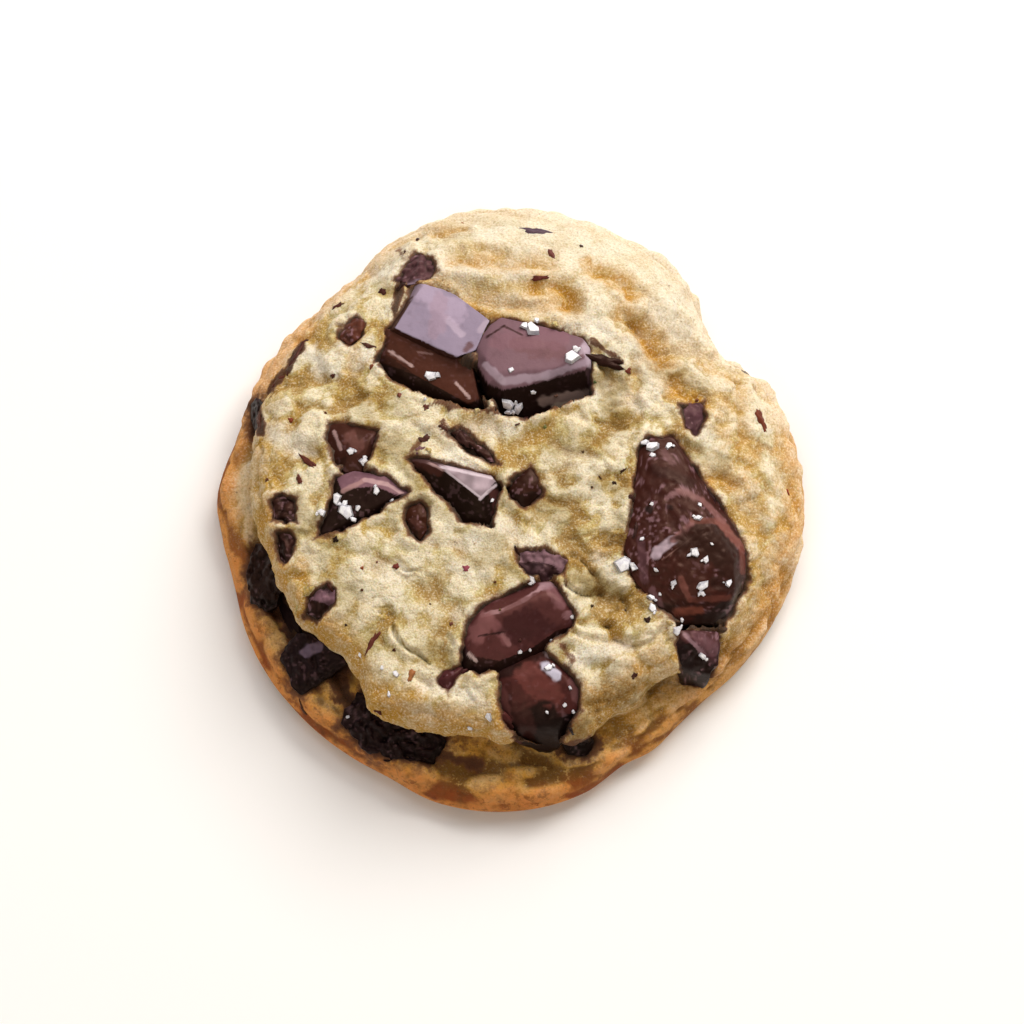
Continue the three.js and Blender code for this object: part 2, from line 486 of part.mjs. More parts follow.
// Small chips fused to the dough: from x, y to x, y, and width
const CHIPS = [
  [1.8, 40.9, 6.6, 40.2, 1.3], [5.8, 37.0, 6.7, 35.3, 0.9], [3.0, 31.6, 5.8, 31.8, 0.7],
  [-20.1, 30.9, -19.0, 30.9, 1.2], [-31.3, 4.7, -28.3, 1.9, 0.9], [-31.5, 1.6, -31.0, 0.2, 0.9],
  [-21.2, -25.6, -19.2, -22.1, 1.0], [-15.0, -26.8, -14.0, -29.8, 0.9],
  [17.8, -29.4, 18.5, -28.3, 0.9], [-22.2, 21.9, -19.8, 20.6, 0.8], [-32.0, 22.6, -33.5, 18.4, 1.2],
  [36.4, 13.0, 38.4, 9.4, 1.3], [33.5, 18.3, 35.2, 18.3, 1.6], [28.8, 0.2, 30.0, -3.0, 1.7],
  [12.2, 19.4, 17.2, 18.6, 1.2],
];

// Flakes of salt: x, y, size, turn; each lies on the chunk or the dough below it
const FLAKES = [
  [-12.0, 16.2, 1.9, 0.3], [3.5, 22.9, 2.3, 2.1], [9.2, 18.9, 2.0, 0.5], [-0.3, 10.8, 1.9, 1.2],
  [1.6, 10.7, 1.9, 0.2], [21.2, 4.9, 2.1, 0.8], [23.2, 5.3, 1.3, 0.1], [27.0, -10.8, 1.5, 0.6],
  [28.7, -11.8, 1.2, 1.0], [28.1, -15.6, 1.9, 0.2], [31.8, -14.8, 1.2, 0.4], [-23.3, 4.2, 1.3, 0.9],
  [-21.5, 2.6, 1.4, 0.5], [-25.4, -3.0, 1.6, 0.2], [-23.7, -5.3, 2.4, 1.1], [-28.2, -5.0, 1.4, 0.7],
  [16.7, -12.8, 2.2, 1.5], [3.1, -15.6, 1.2, 0.3], [5.6, -28.2, 1.8, 0.9],
  [-16.5, -28.9, 1.2, 0.4], [-2.9, -35.0, 1.3, 0.1],
];

const group = new THREE.Group();
group.name = 'chocolate_chip_cookie';

const SMOOTH = doughGeometry();
let dough = solid(SMOOTH);
for (const [x0, y0, x1, y1, wide] of CHIPS) {
  dough = dough.add(solid(chip(x0, y0, x1, y1, wide, SMOOTH)));
}

const pieces = [];
for (const [name, depth, tucked, tone, corners] of CHUNKS) {
  const all = corners.concat(foot(corners, depth));
  const space = solid(room(all, tucked));
  let body = solid(block(all));
  for (const other of pieces) {
    body = body.subtract(other.space);
  }
  dough = dough.subtract(space);
  pieces.push({ name, tone, body, space, skin: block(all) });
}

for (const [x, y, size, turn] of FLAKES) {
  let host = null;
  let z = -Infinity;
  for (const piece of pieces) {
    const here = heightOver(piece.skin, x, y);
    if (here > z) {
      z = here;
      host = piece;
    }
  }
  if (!host) {
    z = heightOver(SMOOTH, x, y);
    let grain = solid(flake(x, y, z, size, turn));
    for (const piece of pieces) {
      grain = grain.subtract(piece.space);
    }
    dough = dough.add(grain);
    continue;
  }
  host.body = host.body.add(solid(flake(x, y, z, size, turn)));
  const clear = solid(flake(x, y, z, size + 2 * GAP, turn));
  dough = dough.subtract(clear);
  for (const piece of pieces) {
    piece.body = piece === host ? piece.body : piece.body.subtract(clear);
  }
}

/** A named mesh with its own material. */
function node(name, body, colour, roughness) {
  const material = new THREE.MeshStandardMaterial({ color: colour, roughness, metalness: 0 });
  const mesh = new THREE.Mesh(faceted(body), material);
  mesh.name = name;
  group.add(mesh);
}

node('dough', dough, '#c4a878', 0.85);
for (const piece of pieces) {
  node(piece.name, piece.body, piece.tone, 0.42);
}

// the middle of the plan goes to the origin and the base to z = 0
const box = new THREE.Box3().setFromObject(group);
const shift = [(box.min.x + box.max.x) / 2, (box.min.y + box.max.y) / 2, box.min.z];
for (const mesh of group.children) {
  mesh.geometry.translate(-shift[0], -shift[1], -shift[2]);
}

export default group;
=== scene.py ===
# %% [markdown]
# # A chocolate chip cookie
# A thick drop cookie with broken chocolate in it. The scene starts from the solid model, which says
# where the dough and each chunk are, and gives every surface its crags, its colours and its gloss.
# All shapes are worked out in millimetres and go to metres when their mesh is made.

# %% The solid model
import itertools
import math
import bpy
import numpy as np
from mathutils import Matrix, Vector
from mathutils.bvhtree import BVHTree


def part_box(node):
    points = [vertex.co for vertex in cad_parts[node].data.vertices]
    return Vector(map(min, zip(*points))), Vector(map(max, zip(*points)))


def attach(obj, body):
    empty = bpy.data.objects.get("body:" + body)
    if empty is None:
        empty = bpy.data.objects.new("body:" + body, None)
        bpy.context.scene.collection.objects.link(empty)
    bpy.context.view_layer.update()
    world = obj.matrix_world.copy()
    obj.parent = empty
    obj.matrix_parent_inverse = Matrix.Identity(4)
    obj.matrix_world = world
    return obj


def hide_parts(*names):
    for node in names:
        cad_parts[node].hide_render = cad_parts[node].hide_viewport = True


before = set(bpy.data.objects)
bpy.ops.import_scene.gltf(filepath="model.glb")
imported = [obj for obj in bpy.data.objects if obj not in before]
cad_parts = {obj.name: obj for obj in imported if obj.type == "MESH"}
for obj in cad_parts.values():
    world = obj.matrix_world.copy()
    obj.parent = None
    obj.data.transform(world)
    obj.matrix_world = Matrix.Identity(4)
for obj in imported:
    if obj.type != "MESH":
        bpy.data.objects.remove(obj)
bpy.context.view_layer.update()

# %% [markdown]
# ## Camera
# The picture was taken from the front and high above, with a long lens from a little over half a
# metre, so the camera stands at 75 degrees and the near lip covers part of the skirt below it.

# %% Camera
ELEVATION = math.radians(75)
DISTANCE = 640.0
LENS, SENSOR = 150.0, 36.0
AIM = np.array([0.225, -1.11, 4.1])
TOWARDS = np.array([0.0, -math.cos(ELEVATION), math.sin(ELEVATION)])
UPWARDS = np.array([0.0, math.sin(ELEVATION), math.cos(ELEVATION)])

camera_data = bpy.data.cameras.new("camera")
camera_data.lens, camera_data.sensor_width = LENS, SENSOR
camera_data.clip_start, camera_data.clip_end = 0.01, 10.0
camera = bpy.data.objects.new("camera", camera_data)
camera.location = (AIM + DISTANCE * TOWARDS) / 1000
camera.rotation_euler = (math.pi / 2 - ELEVATION, 0, 0)
bpy.context.scene.collection.objects.link(camera)
bpy.context.scene.camera = camera
print("camera at", [round(v, 3) for v in camera.location])

# %% [markdown]
# ## From the picture to the cookie and back
# Small things such as salt are placed by where they are seen, so two helpers turn a pixel into a ray
# and a point into a pixel. Both follow from similar triangles: a length is drawn on the sensor
# smaller by the focal length over its distance from the eye.

# %% Rays and pixels
PICTURE = 1024
PIXEL_MM = 0.15


def through(px, py):
    """Eye and unit direction, in millimetres, of the ray through the pixel px, py from the top left."""
    reach = SENSOR / LENS
    sideways = (px / PICTURE - 0.5) * reach
    up = (0.5 - py / PICTURE) * reach
    ray = -TOWARDS + sideways * np.array([1.0, 0.0, 0.0]) + up * UPWARDS
    return AIM + DISTANCE * TOWARDS, ray / np.linalg.norm(ray)


def in_picture(points):
    """Pixels from the picture's top left at which points in millimetres are seen."""
    seen = points - AIM
    scale = DISTANCE / (DISTANCE - seen @ TOWARDS) * PICTURE * LENS / SENSOR / DISTANCE
    across, up = scale * seen[..., 0], scale * (seen @ UPWARDS)
    return np.stack([PICTURE / 2 + across, PICTURE / 2 - up], axis=-1)


print("the aim is seen at", in_picture(AIM), "and a pixel there is about", PIXEL_MM, "mm wide")

# %% [markdown]
# ## Light
# Soft window light comes from behind on the right, as on a table beside a window: it makes the far
# rim nearly white, leaves the near left side in shade, and lies as a pale sheen on the flat
# faces of the chocolate. The sky adds cooler light from above, a pale wall in front gives a
# little back, and a white room fills the shadows. Large square lamps keep the shadows soft.

# %% Colours and lamps
def linear(colour):
    """An sRGB hex colour as the linear red, green, blue and alpha that shaders take."""
    parts = [int(colour.lstrip("#")[i:i + 2], 16) / 255 for i in (0, 2, 4)]
    return tuple(c / 12.92 if c <= 0.04045 else ((c + 0.055) / 1.055) ** 2.4 for c in parts) + (1.0,)


def window(name, azimuth, elevation, distance, size, watts, colour):
    """A square lamp that looks at the cookie from degrees round from +X, degrees up, and metres away."""
    data = bpy.data.lights.new(name, "AREA")
    data.size, data.energy, data.color = size, watts, linear(colour)[:3]
    lamp = bpy.data.objects.new(name, data)
    a, e = math.radians(azimuth), math.radians(elevation)
    direction = Vector((math.cos(e) * math.cos(a), math.cos(e) * math.sin(a), math.sin(e)))
    lamp.location = distance * direction
    lamp.rotation_euler = Vector(lamp.location).to_track_quat("Z", "Y").to_euler()
    bpy.context.scene.collection.objects.link(lamp)
    return lamp


lamps = [
    window("window_light", 56, 42, 1.3, 0.80, 18.4, "#fffaf4"),
    window("sky_light", 105, 62, 1.5, 0.9, 6.0, "#f5f3fa"),
    window("front_wall", 245, 50, 1.5, 0.7, 4.0, "#fff4e4")]
print("lamps:", {lamp.name: lamp.data.energy for lamp in lamps}, "watts")

# %% The white room
room = bpy.data.worlds.new("white_room")
room.use_nodes = True
room.node_tree.nodes["Background"].inputs["Color"].default_value = linear("#fff3e2")
room.node_tree.nodes["Background"].inputs["Strength"].default_value = 0.27
bpy.context.scene.world = room
bpy.context.scene.view_settings.view_transform = "Standard"
print("room:", room.name)

# %% [markdown]
# ## Materials, and a floor
# A material is a tree of nodes that ends in an output. One function adds a node with its settings
# and its links, and another starts a material. The floor is the first one: matt white paint,
# rough and without a pattern, so that it shows only the cookie's shadow.

# %% Nodes
def add_node(tree, kind, inputs=(), **settings):
    """Adds a node with its settings; each input, by name or number, is a value or a socket to link."""
    node = tree.nodes.new(kind)
    for key, value in settings.items():
        setattr(node, key, value)
    for key, value in dict(inputs).items():
        if isinstance(value, bpy.types.NodeSocket):
            tree.links.new(value, node.inputs[key])
        else:
            node.inputs[key].default_value = value
    return node


def new_material(name):
    """An empty material with its node tree and its output node."""
    material = bpy.data.materials.new(name)
    material.use_nodes = True
    tree = material.node_tree
    tree.nodes.clear()
    return material, tree, add_node(tree, "ShaderNodeOutputMaterial")


print("helpers for nodes and materials are ready")

# %% Floor
FLOOR_HALF = 3
floor_paint, tree, out = new_material("matte_white_paint")
paint = add_node(tree, "ShaderNodeBsdfPrincipled", {"Base Color": linear("#f4f4f4"), "Roughness": 0.9})
tree.links.new(paint.outputs[0], out.inputs[0])
floor_mesh = bpy.data.meshes.new("floor")
floor_corners = [(FLOOR_HALF * x, FLOOR_HALF * y, 0) for x, y in ((-1, -1), (1, -1), (1, 1), (-1, 1))]
floor_mesh.from_pydata(floor_corners, [], [(0, 1, 2, 3)])
floor_mesh.materials.append(floor_paint)
floor = bpy.data.objects.new("floor", floor_mesh)
bpy.context.scene.collection.objects.link(floor)
print("floor:", 2 * FLOOR_HALF, "m wide")

# %% [markdown]
# ## Chance that is always the same
# Crumb and crags look random but keep to sizes. Two kinds of noise do this: one blends random
# values between the corners of cubes, and one measures how far the nearest of scattered
# points is, which gives rounded crumbs with creases between them. Both start from a seed.

# %% Soft noise
def cloud(p, cell, seed):
    """Noise from -1 to 1: random values at the corners of cubes `cell` wide, blended between them."""
    values = np.random.default_rng(seed).uniform(-1, 1, (32, 32, 32))
    q = p / cell
    i = np.floor(q).astype(int)
    f = q - i
    f = f ** 3 * (f * (f * 6 - 15) + 10)
    total = 0.0
    for corner in itertools.product((0, 1), repeat=3):
        weight = np.prod(np.where(corner, f, 1 - f), axis=-1)
        j = (i + corner) % 32
        total = total + weight * values[j[..., 0], j[..., 1], j[..., 2]]
    return total


sample = np.random.default_rng(0).uniform(0, 60, (2000, 3))
print("cloud spreads by", round(float(cloud(sample, 3, 1).std()), 2))

# %% Crumbly noise
def crumbs(p, cell, seed):
    """Distance to the nearest of one random point per cube, in cubes: 0 on a crumb, 0.8 in a crease."""
    points = np.random.default_rng(seed).uniform(0, 1, (16, 16, 16, 3))
    q = p / cell
    i = np.floor(q).astype(int)
    best = np.full(q.shape[:-1], 9.0)
    for corner in itertools.product((-1, 0, 1), repeat=3):
        j = i + corner
        near = j + points[j[..., 0] % 16, j[..., 1] % 16, j[..., 2] % 16]
        best = np.minimum(best, np.linalg.norm(q - near, axis=-1))
    return best


def ramp(x, low, high):
    """0 below low, 1 above high, and a smooth step between."""
    t = np.clip((x - low) / (high - low), 0, 1)
    return t * t * (3 - 2 * t)


print("crumbs reach", round(float(crumbs(sample, 3, 1).max()), 2))

# %% [markdown]
# ## Form of the dough
# Seen from above, the rim wanders between 40 and 47 mm from a pole near the middle. On the near
# left, the top dough spread as a thick lip over a wider skirt. So the profile has two versions, a
# plain round side and a lip with a hollow below it, and a curve around the cookie says how much
# of each. A table gives the rim's radius by direction, the lip's as a share of the rim's, and the
# overhang from 0, plain, to 1, all lip.

# %% Rim, lip and overhang
CROWN = 18.5
POLE = np.array([0.2, -0.9])
RIM = [
    (0, 43.8), (12, 43.7), (22, 43.4), (30, 42.2), (35, 40.3), (40, 40.4), (46, 41.6), (54, 44.6),
    (66, 45.8), (80, 47.0), (95, 47.4), (108, 46.9), (116, 45.5), (124, 43.4), (138, 42.8), (150, 42.9),
    (157, 42.8), (164, 42.9), (176, 44.3), (186, 43.5), (193, 42.9), (201, 43.3), (210, 43.9), (220, 44.1),
    (230, 44.2), (238, 44.2), (246, 44.3), (256, 45.5), (270, 45.5), (284, 44.1), (293, 42.0), (300, 41.9),
    (307, 40.9), (315, 40.6), (322, 41.3), (333, 42.3), (345, 43.1)]
LIP = [
    (0, .90), (60, .90), (120, .90), (150, .97), (157, .96), (164, .925), (173, .866), (181, .858),
    (189, .87), (193, .848), (202, .847), (209, .828), (214, .816), (220, .80), (225, .78), (229, .795),
    (233, .83), (237, .867), (242, .872), (248, .85), (254, .825), (262, .805), (270, .803), (278, .828),
    (288, .865), (297, .849), (306, .846), (314, .885), (320, .87), (330, .90)]
OVERHANG = [
    (0, 0), (60, 0), (120, 0), (148, 0), (158, .35), (170, .55), (186, .75), (194, 1), (272, 1), (290, .75),
    (300, .7), (312, .75), (320, .5), (328, .1), (340, 0)]


def around(table, degrees):
    """A closed curve through (direction, value) pairs: cubics whose slope comes from the neighbours."""
    a, v = np.array(table, float).T
    a = np.concatenate([a[-2:] - 360, a, a[:3] + 360])
    v = np.concatenate([v[-2:], v, v[:3]])
    m = np.zeros_like(v)
    m[1:-1] = (v[2:] - v[:-2]) / (a[2:] - a[:-2])
    d = np.mod(degrees, 360.0)
    i = np.clip(np.searchsorted(a, d, side="right") - 1, 1, len(a) - 3)
    h = a[i + 1] - a[i]
    t = (d - a[i]) / h
    return ((2 * t ** 3 - 3 * t ** 2 + 1) * v[i] + (t ** 3 - 2 * t ** 2 + t) * h * m[i]
            + (-2 * t ** 3 + 3 * t ** 2) * v[i + 1] + (t ** 3 - t ** 2) * h * m[i + 1])


every_way = around(RIM, np.arange(360.0))
print("rim from", every_way.min().round(1), "to", every_way.max().round(1), "mm from the pole")

# %% Profile
SHOULDER = 0.60
STATION = np.array([0, .20, .40, .54, SHOULDER, .64, .68, .72, .755, .79, .83, .88, .92, .955, .98, 1])


def stations(degrees):
    """Radius and height of the profile's stations: the lip's and the plain side's, blended."""
    R = around(RIM, degrees)
    L = around(LIP, degrees) * R
    k = np.clip(around(OVERHANG, degrees), 0, 1)
    one = np.ones_like(R)
    lip = [(0, CROWN), (.37 * L, CROWN - .3), (.70 * L, CROWN - 1.1), (L - 3.2, 16.2), (L - 1.3, 15.2),
           (L - .2, 13.4), (L, 11.6), (L - .7, 9.8), (L - 1.9, 8.2), (L - 1.6, 6.9), (L + .6, 6.5),
           (.55 * L + .45 * R, 6.7), (R - 1.7, 5.6), (R, 3.2), (R - .5, 1.1), (R - 1.7, 0)]
    plain = [(0, CROWN), (.33 * R, CROWN - .3), (.60 * R, CROWN - 1.3), (.76 * R, 15.3), (.825 * R, 14.1),
             (.865 * R, 13.1), (.895 * R, 12.1), (.925 * R, 10.9), (.948 * R, 9.7), (.966 * R, 8.5),
             (.98 * R, 7.2), (.99 * R, 5.9), (.998 * R, 4.6), (R, 3.2), (R - .5, 1.1), (R - 1.7, 0)]
    r = np.stack([(k * a[0] + (1 - k) * b[0]) * one for a, b in zip(lip, plain)])
    z = np.stack([(k * a[1] + (1 - k) * b[1]) * one for a, b in zip(lip, plain)])
    return r, z


def profile(s, degrees):
    """Radius, height and outward normal at share s of the profile: cubics through the stations."""
    i = np.clip(np.searchsorted(STATION, s, side="right") - 1, 0, len(STATION) - 2)
    lo, hi = np.clip(i - 1, 0, None), np.clip(i + 2, None, len(STATION) - 1)
    h = STATION[i + 1] - STATION[i]
    t = (s - STATION[i]) / h
    where = tuple(np.indices(s.shape))
    value, slope = [], []
    for table in stations(degrees):
        a, b, c, d = (table[(n,) + where] for n in (lo, i, i + 1, hi))
        m1 = np.where(i > 0, (c - a) / np.maximum(STATION[i + 1] - STATION[lo], 1e-9) * h, 0)
        m2 = (d - b) / (STATION[hi] - STATION[i]) * h
        value.append((2 * t ** 3 - 3 * t ** 2 + 1) * b + (t ** 3 - 2 * t ** 2 + t) * m1
                     + (-2 * t ** 3 + 3 * t ** 2) * c + (t ** 3 - t ** 2) * m2)
        slope.append((6 * t ** 2 - 6 * t) * (b - c) + (3 * t ** 2 - 4 * t + 1) * m1
                     + (3 * t ** 2 - 2 * t) * m2)
    length = np.maximum(np.hypot(*slope), 1e-9)
    middle = s < 1e-6
    across = np.where(middle, 0, -slope[1] / length)
    upward = np.where(middle, 1, slope[0] / length)
    return value[0], value[1], across, upward


print("the profile starts", round(float(profile(np.array([0.0]), np.array([0.0]))[1][0]), 1), "mm high")

# %% [markdown]
# ## The chunks' corners
# Baking chocolate is broken from a bar, so a chunk is a block with flat faces and fairly sharp
# edges, some of them softened by the oven. Each is the hull of a few corners, the same as in the
# solid model. With them go the colour of faces turned up towards the window, a painted sheen
# that stands for bloom and the window's reflection; that of its steep faces, painted dark as
# shade; how pitted it is; how sharp its edges are; how far a face must turn up towards the
# window to take the first colour; how far its melted edge runs out over the dough; and whether
# it is tucked in under the lip. Tucked chunks take dark tones all over, painted shade under the
# lip as well as dark chocolate.

# %% Corners
CHUNKS = {
    "chunk_centre_slab": ("#735760", "#1e1210", 0.02, 12, 0.3, 0.2, False, [
        (-3.0, 21.2, 19.3), (8.8, 20.4, 19.4), (10.5, 18.6, 19.7), (6.8, 16.8, 20.0), (-1.2, 15.7, 20.0),
        (-3.6, 18.3, 19.6), (-4.9, 20.5, 18.5), (-3.0, 23.7, 18.3), (-1.1, 24.8, 18.2), (7.4, 22.9, 18.4),
        (10.6, 21.6, 18.5), (11.7, 20.2, 18.6), (11.8, 17.8, 18.8), (11.1, 16.7, 18.9), (2.9, 14.3, 19.1),
        (-1.1, 13.6, 19.0), (-3.3, 14.6, 18.8), (-4.6, 17.1, 18.6), (-3.3, 13.1, 14.4), (-1.1, 10.3, 13.8),
        (2.2, 9.7, 13.8), (4.9, 12.2, 14.2), (12.1, 13.5, 15.0)]),
    "chunk_back_slab": ("#8f8296", "#3a2019", 0.02, 9, 0.6, 0.3, False, [
        (-13.1, 30.4, 17.3), (-8.9, 28.9, 17.6), (-3.4, 24.5, 18.6), (-5.3, 19.9, 19.0), (-8.2, 18.9, 18.8),
        (-17.2, 23.6, 17.7), (-14.1, 30.8, 15.6), (-18.3, 23.5, 15.9)]),
    "chunk_back_ledge": ("#4f2c22", "#221510", 0.05, 3.5, 0.45, 0.9, False, [
        (-17.8, 23.2, 17.0), (-8.2, 19.1, 17.6), (-5.4, 16.8, 17.6), (-4.6, 12.9, 17.0), (-6.2, 12.2, 16.9),
        (-14.1, 16.8, 16.6), (-18.4, 20.2, 16.2), (-19.5, 19.2, 15.4), (-19.7, 18.6, 14.6),
        (-17.4, 15.7, 14.0), (-13.4, 13.7, 13.8), (-10.4, 12.7, 13.6), (-6.0, 11.5, 13.6),
        (-3.6, 11.5, 13.6)]),
    "chunk_right_square": ("#381a15", "#1c0d0a", 0.2, 6, 0.3, 0.1, False, [
        (22.3, -12.0, 19.6), (27.4, -8.1, 19.6), (29.5, -8.1, 19.3), (32.7, -12.3, 17.8),
        (32.6, -17.1, 16.6), (26.2, -17.3, 18.4), (21.0, -10.5, 19.2), (26.3, -6.5, 19.2),
        (21.3, 3.7, 18.8), (23.8, 1.4, 18.9), (20.6, 6.6, 17.7), (23.9, 7.0, 17.5), (33.2, -6.9, 15.8),
        (34.7, -10.1, 15.0), (34.6, -13.7, 14.4), (33.9, -15.7, 13.9), (32.4, -18.9, 13.4),
        (29.9, -20.7, 14.2), (25.4, -21.2, 15.8), (21.1, -18.7, 17.0), (17.8, -14.3, 18.0),
        (16.9, -10.6, 18.2), (17.5, -7.6, 18.3), (19.1, 4.7, 18.0)]),
    "chunk_right_edge": ("#4a2b2c", "#1a0d0b", 0.25, 3, 0.4, 0.6, False, [
        (24.8, -22.1, 16.2), (27.7, -22.0, 15.8), (30.0, -21.7, 14.2), (30.3, -23.8, 13.8),
        (29.9, -26.1, 13.0), (28.9, -27.6, 11.8), (27.8, -28.1, 9.0), (26.5, -28.0, 9.0),
        (25.2, -27.3, 12.0), (24.2, -24.7, 15.8), (27.0, -23.7, 16.4), (28.9, -24.8, 14.8)]),
    "chunk_front_wedge": ("#4e2a29", "#1c0d0b", 0.05, 2.6, 0.3, 0.3, False, [
        (-3.8, -21.0, 19.5), (0.7, -19.3, 19.9), (5.5, -17.2, 19.8), (8.1, -19.5, 19.0),
        (-5.8, -26.3, 18.2), (-1.5, -27.0, 18.0), (2.9, -25.3, 18.1), (6.7, -22.6, 18.3),
        (-6.9, -23.9, 17.2), (-5.8, -20.9, 17.5), (-4.1, -18.7, 17.6), (2.9, -15.6, 17.8),
        (5.7, -15.3, 17.8), (7.4, -16.4, 17.8), (9.3, -20.1, 17.3), (8.9, -21.7, 17.1), (5.1, -25.0, 16.8),
        (-0.7, -28.0, 16.4), (-4.4, -28.6, 16.4), (-6.7, -27.6, 16.7)]),
    "chunk_front_spill": ("#452220", "#160d0c", 0.07, 1.8, 0.3, 0.3, False, [
        (0.3, -30.3, 17.9), (4.3, -29.2, 18.4), (6.2, -27.7, 18.5), (8.4, -31.4, 17.8), (8.7, -34.4, 16.3),
        (7.3, -36.4, 14.4), (2.9, -36.4, 14.8), (0.3, -34.1, 16.4), (-1.5, -28.5, 16.8), (5.1, -25.6, 17.1),
        (7.3, -28.6, 17.0), (10.0, -30.4, 16.5), (10.0, -33.8, 15.2), (8.6, -36.3, 12.6), (6.9, -38.0, 9.8),
        (5.3, -38.4, 9.6), (1.4, -37.6, 11.2), (-0.5, -36.2, 13.6), (-1.5, -32.5, 16.0)]),
    "chunk_left_upper": ("#3c1f18", "#24130e", 0.05, 5, 0.4, 0.3, False, [
        (-26.6, 8.8, 17.0), (-24.4, 8.9, 17.3), (-19.6, 7.5, 17.7), (-20.6, 4.0, 17.8), (-21.8, 1.6, 17.6),
        (-24.3, 1.7, 17.3), (-25.9, 3.4, 17.1), (-26.9, 6.5, 17.0), (-25.1, 7.1, 18.2), (-20.5, 6.4, 18.5),
        (-21.3, 3.8, 18.5), (-24.1, 3.7, 18.2)]),
    "chunk_left_wedge": ("#70505a", "#1b0f0c", 0.08, 6, 0.66, 0.2, False, [
        (-25.5, 0.5, 17.5), (-22.8, 1.4, 17.8), (-19.1, 0.9, 18.0), (-15.0, -1.9, 18.0),
        (-24.8, -1.5, 18.7), (-19.8, -1.1, 19.1), (-16.6, -2.4, 18.8), (-19.1, -4.5, 16.4),
        (-22.1, -5.7, 16.2), (-24.3, -7.1, 16.0), (-28.1, -8.1, 16.2), (-27.3, -6.4, 16.6)]),
    "chunk_middle": ("#d0bac4", "#180e0a", 0.04, 9, 0.66, 0.2, False, [
        (-15.2, 3.4, 17.6), (-13.8, 3.6, 17.9), (-10.3, 2.2, 18.3), (-2.7, 0.6, 18.5), (-1.3, -1.3, 18.1),
        (-1.6, -2.6, 17.7), (-2.7, -7.0, 16.8), (-4.7, -6.7, 16.5), (-7.1, -6.2, 16.4), (-8.4, -4.2, 16.4),
        (-11.2, 0.2, 17.0), (-13.3, 1.8, 17.4), (-10.1, 1.6, 19.2), (-2.8, 0.0, 19.6), (-2.1, -0.5, 19.5),
        (-4.4, -3.1, 19.2)]),
    "chunk_diamond": ("#2c150e", "#1b0d09", 0.12, 4, 0.5, 0.1, False, [
        (2.9, 2.0, 18.4), (4.1, 0.3, 18.4), (4.5, -1.8, 18.1), (2.2, -4.0, 17.8), (0.1, -2.9, 17.8),
        (-0.3, -1.2, 18.1), (1.2, 0.5, 18.3), (1.9, -0.5, 19.0), (3.2, -1.7, 18.9), (1.4, -2.3, 18.8)]),
    "chunk_strip": ("#2e1612", "#180c0a", 0.2, 4, 0.5, -0.5, False, [
        (-9.3, 7.5, 18.2), (-7.4, 8.1, 18.3), (-2.7, 4.3, 18.4), (-1.8, 2.5, 18.2), (-3.0, 2.3, 18.0),
        (-6.6, 4.9, 18.0), (-7.7, 6.9, 18.9), (-3.3, 3.3, 18.9)]),
    "chunk_oval": ("#36190f", "#200e09", 0.14, 4, 0.5, -0.2, False, [
        (-15.1, -4.2, 18.1), (-13.2, -3.3, 18.2), (-12.0, -4.6, 18.3), (-12.0, -7.6, 18.2),
        (-13.2, -9.2, 18.0), (-14.5, -8.1, 18.0), (-15.6, -5.7, 18.0), (-13.8, -5.5, 18.9),
        (-13.5, -7.4, 18.7)]),
    "chunk_crumbly": ("#7a5c64", "#2c181a", 0.6, 3, 0.5, 0.3, False, [
        (1.3, -10.9, 18.2), (5.1, -10.4, 18.2), (8.2, -12.1, 18.1), (7.4, -14.0, 17.9), (5.1, -14.6, 17.9),
        (2.9, -14.2, 17.9), (1.3, -12.5, 18.1), (3.6, -12.3, 18.9), (6.1, -12.8, 18.8)]),
    "chunk_pitted_back": ("#573a3e", "#2c1816", 0.65, 3, 0.4, 0.3, False, [
        (-14.3, 36.6, 13.9), (-11.6, 35.2, 14.9), (-10.9, 32.7, 15.8), (-12.6, 31.6, 16.2),
        (-15.7, 31.4, 15.7), (-16.9, 32.0, 15.1), (-15.5, 34.7, 14.3), (-13.5, 33.8, 16.2)]),
    "chunk_pitted_left": ("#542d22", "#341b14", 0.4, 3, 0.4, 0.3, False, [
        (-23.0, 26.2, 14.5), (-21.8, 25.0, 15.3), (-22.5, 23.0, 15.7), (-23.9, 21.9, 15.6),
        (-25.5, 23.1, 14.7), (-24.8, 24.9, 14.4), (-23.6, 24.0, 16.2)]),
    "chunk_lip_upper": ("#38211c", "#1c0e0b", 0.55, 3, 0.4, 0.3, False, [
        (-34.8, -2.6, 15.5), (-33.5, -1.8, 15.9), (-31.4, -2.5, 16.3), (-31.5, -5.9, 16.3),
        (-33.1, -6.1, 16.0), (-34.6, -5.4, 15.6), (-33.2, -3.8, 16.8), (-32.8, -5.0, 16.8)]),
    "chunk_lip_lower": ("#402824", "#1c0e0b", 0.55, 3, 0.4, 0.3, False, [
        (-34.4, -7.3, 15.5), (-32.4, -7.1, 16.0), (-31.6, -8.5, 16.0), (-32.0, -11.0, 15.9),
        (-33.1, -12.1, 15.2), (-34.1, -9.8, 15.0), (-33.0, -8.9, 16.7), (-32.9, -10.1, 16.5)]),
    "chunk_under_lip": ("#241512", "#100908", 0.75, 3, 0.3, 0.6, True, [
        (-37.6, -7.5, 9.0), (-38.7, -11.2, 8.2), (-38.0, -15.1, 8.0), (-36.2, -16.6, 7.6),
        (-33.7, -8.6, 12.0), (-34.4, -11.2, 11.4), (-33.5, -14.2, 10.8), (-34.9, -15.9, 9.2)]),
    "chunk_hollow_left": ("#1e1216", "#0c0707", 0.45, 3, 0.4, 0.7, True, [
        (-33.4, -23.9, 8.0), (-32.5, -25.6, 7.8), (-31.6, -28.3, 7.6), (-30.6, -28.9, 7.4),
        (-28.4, -27.2, 7.8), (-26.9, -25.9, 8.0), (-31.4, -21.8, 9.4), (-29.6, -21.8, 10.4),
        (-28.3, -23.2, 10.4), (-24.3, -25.4, 10.4)]),
    "chunk_hollow_front": ("#1c1013", "#0c0707", 0.75, 3, 0.3, 0.7, True, [
